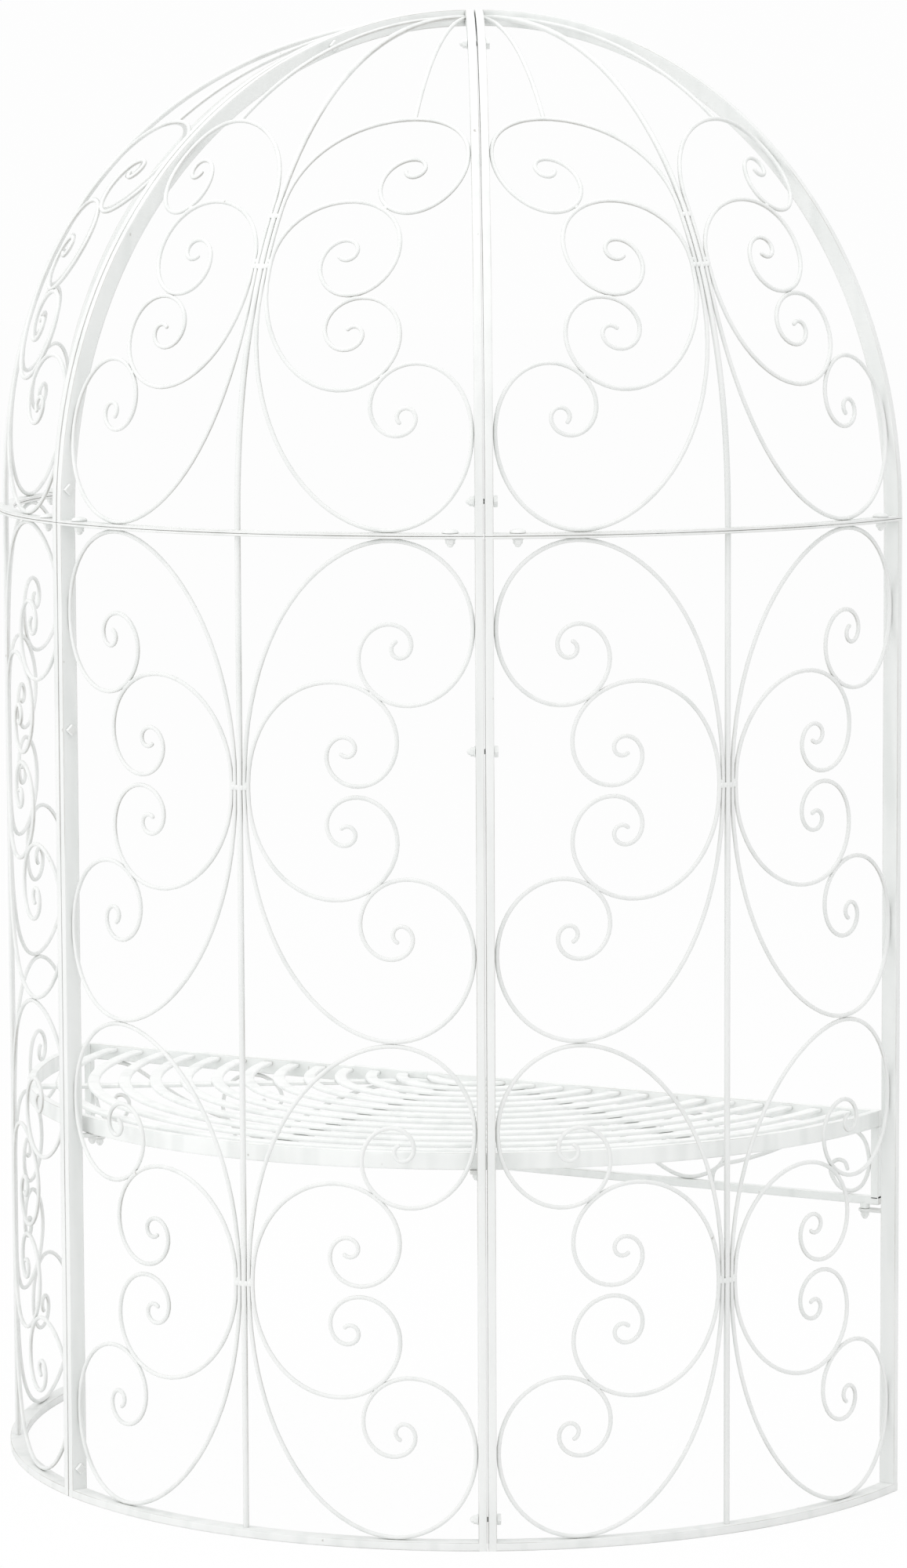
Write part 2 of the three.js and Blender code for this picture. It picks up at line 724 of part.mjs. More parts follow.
// Scrolls that stand in the plane of the apron, given from the middle outwards and from its lower bar up
function apronWire(shares, side) {
  const width = endBarFace - wireReach;
  const low = apronTop + wireReach;
  const high = benchBottom - wireReach;
  const corners = shares.map(([acrossShare, upShare]) => {
    return new THREE.Vector3(side * acrossShare * width, benchMiddle, low + upShare * (high - low));
  });
  const points = new THREE.CatmullRomCurve3(corners).getSpacedPoints(apronScrollSteps);
  const outward = new THREE.Vector3(0, -1, 0);
  return toSolid(swept(points.map((point) => ({ point, outward })), squareSection(wireWidth)));
}

function apronScrollwork(side) {
  return toGeometry(joined([apronWire(outerApronShares, side), apronWire(innerApronShares, side)]));
}

function bench() {
  const group = new THREE.Group();
  group.add(piece('bench_front_rail', benchFrontRail()));
  group.add(piece('bench_rim', benchRim()));
  for (let index = 0; index < slatCount; index += 1) {
    group.add(piece(`bench_slat_${index + 1}`, slat(index)));
  }
  panelTurns.forEach((turn, index) => group.add(piece(`bench_bearer_${panelNames[index]}`, bearer(turn))));
  group.add(piece('apron_frame', apronFrame()));
  group.add(piece('apron_right_scrollwork', apronScrollwork(1)));
  group.add(piece('apron_left_scrollwork', apronScrollwork(-1)));
  return group;
}

// Fasteners: a head, a shank and a flanged cap nut, drawn upright with the joint's middle at zero

function domePoints(radius, low, high) {
  const points = [];
  for (let ring = 0; ring <= capRings; ring += 1) {
    const angle = (Math.PI / 2) * (ring / capRings);
    points.push(new THREE.Vector2(radius * Math.cos(angle), low + (high - low) * Math.sin(angle)));
  }
  points[capRings].x = 0;
  return points;
}

function nutPoints(seat) {
  const nutEnd = seat - flangeThickness - nutHeight;
  return [
    ...domePoints(capRadius, nutEnd, nutEnd - capHeight).reverse(),
    new THREE.Vector2(nutRadius, nutEnd),
    new THREE.Vector2(nutRadius, seat - flangeThickness),
    new THREE.Vector2(flangeRadius, seat - flangeThickness),
    new THREE.Vector2(flangeRadius, seat),
    new THREE.Vector2(boltRadius, seat)
  ];
}

function turned(points) {
  const geometry = new THREE.LatheGeometry(points, roundSides);
  geometry.rotateX(Math.PI / 2);
  return geometry;
}

function domedHead(seat) {
  return [new THREE.Vector2(headRadius, seat), ...domePoints(headRadius, seat + headEdge, seat + headHeight)];
}

function blockHead(seat) {
  return [
    new THREE.Vector2(blockHeadRadius, seat),
    new THREE.Vector2(blockHeadRadius, seat + blockHeadHeight),
    new THREE.Vector2(0, seat + blockHeadHeight)
  ];
}

function throughBolt(grip, headPoints) {
  const seat = grip / 2 + fitGap;
  return turned([...nutPoints(-seat), new THREE.Vector2(boltRadius, seat), ...headPoints(seat)]);
}

// Screwed up through a lug into the bench, with its flanged cap below
function benchBolt() {
  const end = lugThickness + benchBoltDepth - fitGap;
  return turned([...nutPoints(-fitGap), new THREE.Vector2(boltRadius, end), new THREE.Vector2(0, end)]);
}

function placed(mesh, x, y, z) {
  mesh.position.set(x, y, z);
  return mesh;
}

function seamBolts(side, name) {
  const group = new THREE.Group();
  [...wallSeamSpots, ...roofSeamSpots].forEach((spot, index) => {
    const bolt = piece(`seam_bolt_${name}_${index + 1}`, throughBolt(2 * stileFace, blockHead));
    bolt.rotation.y = -Math.PI / 2;
    group.add(placed(bolt, 0, spot.radius, spot.height));
  });
  group.rotation.z = side * halfPanel;
  return group;
}

function ringBolts(turn, name) {
  const group = new THREE.Group();
  const middle = (ringRailBottom + roofRailTop) / 2;
  [-1, 1].forEach((side, index) => {
    const seam = new THREE.Group();
    const geometry = throughBolt(roofRailTop - ringRailBottom, domedHead);
    const bolt = piece(`ring_bolt_${name}_${index + 1}`, geometry);
    seam.add(placed(bolt, side * ringBoltInset, infillRadius, middle));
    seam.rotation.z = side * halfPanel;
    group.add(seam);
  });
  group.rotation.z = turn * panelAngle;
  return group;
}

function benchBolts() {
  const group = new THREE.Group();
  [[-1, 'right'], [1, 'left']].forEach(([side, name]) => {
    const rear = new THREE.Group();
    const rearBolt = piece(`bench_bolt_rear_${name}`, benchBolt());
    rear.add(placed(rearBolt, side * rearLugInset, rimMiddleRadius, rearLugTop - lugThickness));
    rear.rotation.z = side * halfPanel;
    group.add(rear);
    const frontBolt = piece(`bench_bolt_front_${name}`, benchBolt());
    group.add(placed(frontBolt, -side * frontBoltX, benchMiddle, frontLugTop - lugThickness));
  });
  return group;
}

const arbour = new THREE.Group();
panelTurns.forEach((turn, index) => {
  arbour.add(wallPanel(turn, panelNames[index]));
  arbour.add(roofPanel(turn, panelNames[index]));
  arbour.add(ringBolts(turn, panelNames[index]));
});
arbour.add(seamBolts(-1, 'right'));
arbour.add(seamBolts(1, 'left'));
arbour.add(bench());
arbour.add(benchBolts());

const apexFront = (seamGap / 2 / Math.sin(halfPanel)) * Math.cos(panelAngle);
const frontmost = Math.min(apexFront, benchMiddle - lugRadius);
arbour.position.y = -(arbourRadius + frontmost) / 2;

const arbourSeat = new THREE.Group();
arbourSeat.add(arbour);

export default arbourSeat;
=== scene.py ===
"""Arbour seat: bars, bent wire, bench and bolts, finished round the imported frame.

Metres, +Z up, in the frame of the CAD model: the open front faces -Y.
Panels are drawn round the arbour's upright axis with their middle along +Y, then turned to their place.
"""

import math

import bmesh
import bpy
from mathutils import Matrix, Vector


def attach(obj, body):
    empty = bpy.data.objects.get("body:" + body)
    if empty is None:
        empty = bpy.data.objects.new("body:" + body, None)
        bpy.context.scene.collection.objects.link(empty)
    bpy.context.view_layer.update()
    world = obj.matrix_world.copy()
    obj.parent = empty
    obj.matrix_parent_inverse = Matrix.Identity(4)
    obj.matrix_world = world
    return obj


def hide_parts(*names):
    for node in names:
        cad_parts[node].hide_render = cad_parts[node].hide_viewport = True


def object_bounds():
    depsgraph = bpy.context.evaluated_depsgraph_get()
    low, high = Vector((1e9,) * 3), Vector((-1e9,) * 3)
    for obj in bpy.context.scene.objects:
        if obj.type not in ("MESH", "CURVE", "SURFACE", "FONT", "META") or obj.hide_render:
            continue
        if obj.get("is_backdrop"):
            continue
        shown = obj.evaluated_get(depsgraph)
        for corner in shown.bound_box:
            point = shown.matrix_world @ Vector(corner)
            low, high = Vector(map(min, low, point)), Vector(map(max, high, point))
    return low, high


bl_info = {
    "name": "Arbour seat",
    "version": (1, 0, 0),
    "blender": (4, 5, 0),
    "location": "3D View > Sidebar > Arbour",
    "description": "Dresses the frame of a half-round garden arbour with a bench",
    "category": "Add Mesh",
}

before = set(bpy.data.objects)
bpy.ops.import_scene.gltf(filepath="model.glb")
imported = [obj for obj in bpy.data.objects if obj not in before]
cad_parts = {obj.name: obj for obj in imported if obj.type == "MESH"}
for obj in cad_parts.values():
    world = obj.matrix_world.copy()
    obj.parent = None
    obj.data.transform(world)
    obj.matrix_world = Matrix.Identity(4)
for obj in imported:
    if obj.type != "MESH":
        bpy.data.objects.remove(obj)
CAD_LOW, CAD_HIGH = (corner.copy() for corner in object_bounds())
MM = 0.001

# Sizes of the arbour, as in its CAD source
RADIUS = 600 * MM
WALL_HEIGHT = 1195 * MM
TOP_HEIGHT = 1811 * MM
PANELS = {"right": -1, "middle": 0, "left": 1}
PANEL_ANGLE = math.radians(58)
HALF_PANEL = PANEL_ANGLE / 2
SEAM_GAP = 1.5 * MM
FIT_GAP = 0.3 * MM
BAR_WIDTH = 10 * MM
BAR_DEPTH = 20 * MM
BASE_RAIL_HEIGHT = 10 * MM
RING_RAIL_THICKNESS = 3 * MM
INFILL_RADIUS = RADIUS - BAR_DEPTH / 2
INNER_RADIUS = RADIUS - BAR_DEPTH
STILE_FACE = SEAM_GAP / 2 + BAR_WIDTH
STILE_MIDDLE = SEAM_GAP / 2 + BAR_WIDTH / 2
RING_RAIL_BOTTOM = WALL_HEIGHT - RING_RAIL_THICKNESS
ROOF_BASE = WALL_HEIGHT + FIT_GAP
ROOF_RAIL_TOP = ROOF_BASE + RING_RAIL_THICKNESS
INFILL_RISE = TOP_HEIGHT - ROOF_BASE - BAR_DEPTH / 2
RIB_POWER = 2.08
MIDDLE_POWER = 2.26
AXIS = Vector((0, CAD_HIGH.y - RADIUS, 0))

# Scrolls: turn in degrees, and bend radii as shares at the start of every quarter turn
WALL_BIG = (781, (1.69, 0.31, 0.37, 0.215, 0.165, 0.105, 0.068, 0.036, 0.034, 0.034))
WALL_SMALL = (672, (0.5, 0.308, 0.2, 0.146, 0.098, 0.058, 0.036, 0.034, 0.034))
ROOF_LOW_BIG = (765, (1.831, 0.297, 0.437, 0.181, 0.167, 0.093, 0.058, 0.036, 0.036, 0.04))
ROOF_LOW_SMALL = (681, (0.778, 0.25, 0.198, 0.168, 0.11, 0.087, 0.048, 0.035, 0.03))
ROOF_HIGH_BIG = (705, (1.039, 0.599, 0.476, 0.252, 0.278, 0.129, 0.077, 0.066, 0.066))
ROOF_HIGH_SMALL = (676, (0.501, 0.506, 0.38, 0.269, 0.234, 0.121, 0.072, 0.072, 0.08))
BIG_STEPS = 90
SMALL_STEPS = 64
BIG_OFFSET = 6.3 * MM
SMALL_OFFSET = 11.3 * MM
WIRE_REACH = 2.5 * MM
WAIST_STRAIGHT = 4 * MM
WALL_HALF_MOTIF = (RING_RAIL_BOTTOM - BASE_RAIL_HEIGHT) / 4
LOW_BIG_START = 0.301
ROOF_WAIST = 0.331
HIGH_BIG_START = 0.41
HIGH_BIG_TOP = 0.554
LOW_WELD = 0.329
HIGH_WELD = 0.398

# Fasteners
BOLT_RADIUS = 3 * MM
SEAM_BOLT_HEIGHTS = (36 * MM, 945 * MM)
ROOF_LOW_BOLT_RISE = 40 * MM
ROOF_HIGH_BOLT_RADIUS = 212 * MM
RING_BOLT_INSET = 39 * MM

# Bench and apron
BENCH_TOP = 470 * MM
BENCH_BAR_HEIGHT = 20 * MM
BENCH_BAR_WIDTH = 10 * MM
OPEN_EDGE_ANGLE = (math.pi - 3 * PANEL_ANGLE) / 2
BENCH_FRONT = INNER_RADIUS * math.sin(OPEN_EDGE_ANGLE) - 8.35 * MM
RIM_RADIUS = INNER_RADIUS - 8 * MM
BENCH_BOTTOM = BENCH_TOP - BENCH_BAR_HEIGHT
BENCH_BAR_MIDDLE = BENCH_TOP - BENCH_BAR_HEIGHT / 2
BENCH_BACK = BENCH_FRONT + BENCH_BAR_WIDTH + FIT_GAP
BENCH_MIDDLE = BENCH_FRONT + BENCH_BAR_WIDTH / 2
BENCH_END = math.sqrt(RIM_RADIUS**2 - BENCH_BACK**2)
RIM_MIDDLE = RIM_RADIUS - BENCH_BAR_WIDTH / 2
SLAT_COUNT = 13
SLAT_PITCH = RIM_MIDDLE / (SLAT_COUNT + 1.464)
SLAT_WIDTH = 15 * MM
SLAT_THICKNESS = 5 * MM
SLAT_TOP = BENCH_TOP - 3 * MM
BEARER_WIDTH = 20 * MM
BEARER_THICKNESS = 4 * MM
BEARER_HUB = 30 * MM
APRON_BAR = 10 * MM
APRON_BOTTOM = 353 * MM
APRON_TOP = APRON_BOTTOM + APRON_BAR
END_BAR_FACE = BENCH_END - APRON_BAR
BOSS_RADIUS = 6 * MM
BOSS_HEIGHT = 5.7 * MM
FRONT_BOLT_X = END_BAR_FACE - 9.5 * MM
LUG_THICKNESS = 3 * MM
LUG_RADIUS = 8 * MM
REAR_LUG_INSET = 11 * MM
REAR_LUG_TOP = BENCH_BOTTOM - FIT_GAP
FRONT_LUG_TOP = APRON_BOTTOM - BOSS_HEIGHT - FIT_GAP
OUTER_APRON = (
    (0.616, -0.02), (0.621, 0.13), (0.641, 0.24), (0.69, 0.335), (0.763, 0.52), (0.836, 0.76), (0.895, 0.95),
    (0.945, 0.99), (0.985, 0.81), (0.997, 0.45), (0.983, 0.15), (0.956, 0.02), (0.926, 0.07), (0.907, 0.24),
    (0.906, 0.39), (0.921, 0.47), (0.938, 0.45), (0.945, 0.35),
)
INNER_APRON = (
    (0.19, 0.58), (0.175, 0.47), (0.155, 0.5), (0.145, 0.66), (0.16, 0.86), (0.2, 0.985), (0.26, 0.93),
    (0.37, 0.62), (0.476, 0.19), (0.527, 0.03), (0.57, 0.01), (0.614, 0.12), (0.639, 0.27), (0.648, 0.46),
    (0.635, 0.75), (0.6, 0.94), (0.545, 0.985), (0.502, 0.85), (0.488, 0.65), (0.502, 0.5), (0.526, 0.49),
    (0.537, 0.59),
)

# Bars: wear along an edge, how far it reaches in roundings, and where straight bars have extra points
THIN_EDGE = 0.6 * MM
EDGE_WEAR = (0.6, 1.0, 0.6)
EDGE_REACH = 2.5
MIDDLE_CLEARANCE = 0.99
PLATE_WEAR = 0.7
PLATE_ROUNDING = 0.4 * MM
TURNED_WEAR = 0.25
STILE_STOPS = (0, 2 * MM, BENCH_TOP, 900 * MM, RING_RAIL_BOTTOM + 1 * MM)
FRONT_RAIL_STOPS = (-1, -0.5, 0, 0.5, 1)
SHARP_TURN = math.radians(40)
CUT_TOLERANCE = 1e-7

# Joints: how far bars, rods and lugs run into the bar that they are welded to, or stay clear of it
OVERLAP = 2 * MM
REAR_LUG_OVERLAP = 3 * MM
FRONT_LUG_OVERLAP = 5 * MM
SIDE_ROD_GAP = 0.5 * MM
ROD_GAP = 2 * MM
ROD_STOPS = (BASE_RAIL_HEIGHT - OVERLAP, 600 * MM, RING_RAIL_BOTTOM)

# Wire: its rounded end, as distance from the tip and thickness there in shares of its radius
WIRE_END = ((0.0, 0.06), (0.12, 0.48), (0.35, 0.76), (0.65, 0.94))
WIRE_SHARP_TURN = math.radians(50)

# Weld beads: their spread across, along and away from the wires in half lengths of a bead, how far those of a
# waist drift outside and inside, and how high they sit and how far they bridge in thicknesses of the wire
WAIST_BEAD = (0.85, 0.95, 0.42)
TOUCH_BEAD = (0.8, 0.8, 0.62)
EDGE_BEAD = (0.75, 0.75, 0.6)
WAIST_DRIFTS = {1: 0.24 * MM, -1: -0.4 * MM}
BEAD_LIFT = 0.36
TOUCH_REACH = 1.35
RIPPLE_SCALE = 320.0
RIPPLE_SEED = 3.0

# Fasteners, as radius and height in millimetres; a cap has its radius, its rim and its top
NUT_FLANGE = ((0, 0), (6.3, 0), (6.5, 0.3), (6.4, 1), (5.8, 1.5), (0, 1.5))
NUT_BODY = ((0, 1), (5.6, 1), (5.6, 5.2), (4.9, 6), (0, 6))
NUT_NECK = ((0, 5), (4, 5))
NUT_CAP = (4, 6, 9.9)
RING_HEAD_FOOT = ((0, 0), (9.1, 0), (9.55, 0.4))
RING_HEAD_CAP = (9.6, 1.1, 4.9)
SEAM_HEAD = ((0, 0), (6.9, 0), (6.9, 4), (6.2, 4.8), (0, 4.9))
BENCH_BOLT_REACH = LUG_THICKNESS + 8.7 * MM
BOSS_ROUNDING = 0.6 * MM

# How finely round forms are divided
WIRE_SIDES = 12
NUT_SIDES = 24
CAP_SIDES = 20
SHANK_SIDES = 16
HEAD_SIDES = 32
BOSS_SIDES = 20
CAP_STEPS = 5
HEAD_STEPS = 8
BEAD_FINENESS = 3
BEND_FINENESS = 12
CLIMB_STEPS = 600
RING_STEPS = 48
RIM_STEPS = 120
RIB_STEPS = 60
ROD_STEPS = 40
SIDE_ROD_STEPS = 24
WAIST_STEPS = 6
LUG_STEPS = 12
SLAT_STEPS = 24
SLAT_STEPS_MORE = 6
SLAT_EDGE_STEPS = 3
APRON_STEPS = 6

# Finishes of the record's slots: brushing is how strongly wear and the painted shade in the wear colour show,
# round_stock how much of that runs along round wire, lit_whiteness how pale the paint is, set per slot as
# painted light for how brightly its pieces are lit, and upright_shade how much painted shade upright faces
# have
LOOKS = {
    "frame_paint": dict(brushing=0.62, roughness=0.58, round_stock=0.0, lit_whiteness=0.945, upright_shade=0.0),
    "wire_paint": dict(brushing=0.68, roughness=0.55, round_stock=0.8, lit_whiteness=0.93, upright_shade=0.0),
    # The bench is made paler as painted light for its top-lit slats; its upright faces get painted shade
    "bench_paint": dict(brushing=0.45, roughness=0.5, round_stock=0.15, lit_whiteness=1.05, upright_shade=0.14),
    "bolt_paint": dict(brushing=0.55, roughness=0.5, round_stock=0.3, lit_whiteness=0.96, upright_shade=0.0),
}

# Patterns of the paint: fineness, detail and roughness of each
PATTERNS = {
    "clouds": (9.0, 3.0, 0.6),
    "streaks": (45.0, 1.0, 0.5),
    "patches": (7.0, 1.0, 0.5),
    "brushing": (110.0, 2.0, 0.5),
    "spots": (80.0, 1.0, 0.4),
}
STREAK_STRETCH = (1, 1, 0.12)

# Shares of painted shade below, on flanks and in hollows, of grey clouds and streaks, and of wear; the side
# of round wire that faces the light, whose other side gets painted shade; and the relief of the brushing
SHADE_BELOW = 0.12
SHADE_FLANKS = 0.12
WASH_CLOUDS = 0.08
WASH_STREAKS = 0.16
SHADE_HOLLOWS = 0.4
WEAR_EDGES = 0.8
DARK_SHADE_HOLLOWS = 0.45
WEAR_EVERYWHERE = 0.15
WIRE_WEAR_EVERYWHERE = 0.2
BRUSHED_SHARE = 0.25
HOLLOW_REACH = 3.5 * MM
HOLLOW_SAMPLES = 4
LIGHT_SIDE = (0.42, 0.22, 0.88)
SHADED_SIDE_START = 0.2
ROUGHER_BRUSHED = 0.14
ROUGHER_WORN = 0.1
RELIEF_BRUSHED = 0.4
RELIEF_STREAKS = 0.6
RELIEF_STRENGTH = 0.08
RELIEF_DEPTH = 0.3 * MM
SPECULAR = 0.35
BEYOND_ARBOUR = 9

# Stage: the camera stands where the photograph was taken from. Lamps have a place, a size and a power.
CAMERA_PLACE = (-3.2493, 5.7959, 1.634)
CAMERA_AZIMUTH = math.radians(118.3)
CAMERA_TILT = math.radians(6.56)
CAMERA_ROLL = math.radians(-0.25)
CAMERA_LENS = 126.0
CAMERA_REACH = 100
LAMPS = {
    "key_light": ((-3.6, 5.0, 4.6), 3.0, 32.0),
    "fill_light": ((3.9, 4.2, 3.0), 3.5, 66.0),
    "top_light": ((-0.5, 0.8, 5.2), 4.0, 62.0),
}
LAMP_AIM = Vector((0, 0, 0.9))
SKY_LIGHT = 0.78
BACKDROP_LIGHT = 0.205
FLOOR_SIZE = 40
FLOOR_GLOW = 0.93
FLOOR_ROUGHNESS = 0.9

# Directions, and the place of all that is drawn round the axis
ACROSS = Vector((1, 0, 0))
OUT = Vector((0, 1, 0))
UP = Vector((0, 0, 1))
AT_AXIS = Matrix.Translation(AXIS)


# Sizes and colours that a user would change


class ArbourSizes(bpy.types.PropertyGroup):
    """Sizes of the stock that the arbour is bent and welded from."""

    wire: bpy.props.FloatProperty(
        name="Wire", description="Thickness of the scroll wire", default=5.1 * MM, unit="LENGTH"
    )
    rod: bpy.props.FloatProperty(
        name="Rod", description="Thickness of the centre rods", default=7 * MM, unit="LENGTH"
    )
    edge: bpy.props.FloatProperty(
        name="Edge", description="Rounding along the edges of the bars", default=0.9 * MM, unit="LENGTH"
    )
    slat_edge: bpy.props.FloatProperty(
        name="Slat edge", description="Rounding along the bench slats", default=2 * MM, unit="LENGTH"
    )
    bead: bpy.props.FloatProperty(
        name="Weld bead", description="Length of one weld bead", default=7 * MM, unit="LENGTH"
    )
    unevenness: bpy.props.FloatProperty(
        name="Unevenness", description="How far a weld bead strays from smooth", default=0.5 * MM,
        unit="LENGTH",
    )


class ArbourColours(bpy.types.PropertyGroup):
    """Colours of the brushed paint."""

    paint: bpy.props.FloatVectorProperty(
        name="Paint", description="Antique white paint", default=(0.93, 0.94, 0.93), size=3, subtype="COLOR"
    )
    # The shade colour is painted shade below, on sides, on upright faces and in hollows, and tints random
    # streaks
    shade: bpy.props.FloatVectorProperty(
        name="Shade", description="Cool grey wash in hollows", default=(0.55, 0.59, 0.57), size=3,
        subtype="COLOR",
    )
    # The wear colour is real wear on edges and in spots, and painted shade in hollows, on wire and at slat
    # ends
    wear_and_shade: bpy.props.FloatVectorProperty(
        name="Wear", description="Grey-brown where it is brushed thin", default=(0.3, 0.27, 0.23), size=3,
        subtype="COLOR",
    )
    floor: bpy.props.FloatVectorProperty(
        name="Floor", description="Pale floor", default=(0.93, 0.93, 0.93), size=3, subtype="COLOR"
    )


# Node trees, written as expressions


class Signal:
    """One output socket of a node tree that can be calculated with."""

    def __init__(self, kit, socket):
        self.kit, self.socket = kit, socket

    def maths(self, operation, *others, swap=False):
        values = (others[0], self) if swap else (self, *others)
        return self.kit.node("ShaderNodeMath", {"operation": operation}, values)

    def __add__(self, other):
        return self.maths("ADD", other)

    def __radd__(self, other):
        return self.maths("ADD", other)

    def __sub__(self, other):
        return self.maths("SUBTRACT", other)

    def __rsub__(self, other):
        return self.maths("SUBTRACT", other, swap=True)

    def __mul__(self, other):
        return self.maths("MULTIPLY", other)

    def __rmul__(self, other):
        return self.maths("MULTIPLY", other)

    def least(self, other):
        return self.maths("MINIMUM", other)

    def most(self, other):
        return self.maths("MAXIMUM", other)

    def within(self, low, high):
        """Runs smoothly from 0 at low to 1 at high."""
        inputs = {"Value": self, "From Min": low, "From Max": high}
        return self.kit.node("ShaderNodeMapRange", {"interpolation_type": "SMOOTHSTEP"}, inputs)


class Kit:
    """Adds nodes to a tree."""

    def __init__(self, tree):
        self.tree = tree

    def node(self, kind, settings=None, inputs=None, output=0):
        node = self.tree.nodes.new(kind)
        for name, value in (settings or {}).items():
            setattr(node, name, value)
        pairs = inputs.items() if isinstance(inputs, dict) else enumerate(inputs or ())
        for name, value in pairs:
            socket = node.inputs[name]
            if isinstance(value, Signal):
                self.tree.links.new(value.socket, socket)
            else:
                socket.default_value = value
        if not node.outputs:
            return node
        return Signal(self, node.outputs[output])

    def output_of(self, signal, name):
        return Signal(self, signal.socket.node.outputs[name])

    def mixed(self, factor, first, second):
        """Mixes two colours, which are the Mix node's sockets 6 and 7 and its output 2."""
        colours = [value if isinstance(value, Signal) else (*value, 1) for value in (first, second)]
        inputs = {0: factor, 6: colours[0], 7: colours[1]}
        return self.node("ShaderNodeMix", {"data_type": "RGBA", "blend_type": "MIX"}, inputs, output=2)


class TreeKit(Kit):
    """Builds a Geometry Nodes tree with named inputs, each given as its kind and its default."""

    def __init__(self, name, inputs):
        super().__init__(bpy.data.node_groups.new(name, "GeometryNodeTree"))
        for way in ("INPUT", "OUTPUT"):
            self.tree.interface.new_socket("Geometry", in_out=way, socket_type="NodeSocketGeometry")
        self.identifiers = {}
        for label, (kind, default) in inputs.items():
            socket = self.tree.interface.new_socket(label, in_out="INPUT", socket_type=f"NodeSocket{kind}")
            if default is not None:
                socket.default_value = default
            self.identifiers[label] = socket.identifier
        self.start = self.node("NodeGroupInput")

    def given(self, label):
        return self.output_of(self.start, label)

    def stored(self, name, kind="FLOAT_VECTOR"):
        return self.node("GeometryNodeInputNamedAttribute", {"data_type": kind}, {"Name": name})

    def turned(self, upright, sideways):
        """A rotation that follows two stored directions."""
        inputs = {"Primary Axis": self.stored(upright), "Secondary Axis": self.stored(sideways)}
        return self.node("FunctionNodeAxesToRotation", {"primary_axis": "Z", "secondary_axis": "X"}, inputs)

    def end_with(self, solid):
        """Makes all that is left real, gives it the finish and ends the tree."""
        solid = self.node("GeometryNodeRealizeInstances", {}, {"Geometry": solid})
        inputs = {"Geometry": solid, "Material": self.given("Finish")}
        solid = self.node("GeometryNodeSetMaterial", {}, inputs)
        self.node("NodeGroupOutput", {}, {"Geometry": solid})
        return self


TREES = {}


def tree_of(name, maker):
    """One of the trees, built once."""
    if name not in TREES:
        TREES[name] = maker()
    return TREES[name]


def apply_tree(mesh, tree_kit, values):
    """Runs a tree on a mesh and returns the plain mesh that it makes."""
    holder = bpy.data.objects.new("work", mesh)
    bpy.context.scene.collection.objects.link(holder)
    modifier = holder.modifiers.new("making", "NODES")
    modifier.node_group = tree_kit.tree
    for label, value in values.items():
        modifier[tree_kit.identifiers[label]] = value
    graph = bpy.context.evaluated_depsgraph_get()
    result = bpy.data.meshes.new_from_object(holder.evaluated_get(graph))
    holder.modifiers.remove(modifier)
    bpy.data.objects.remove(holder)
    bpy.data.meshes.remove(mesh)
    return result


# Finishes


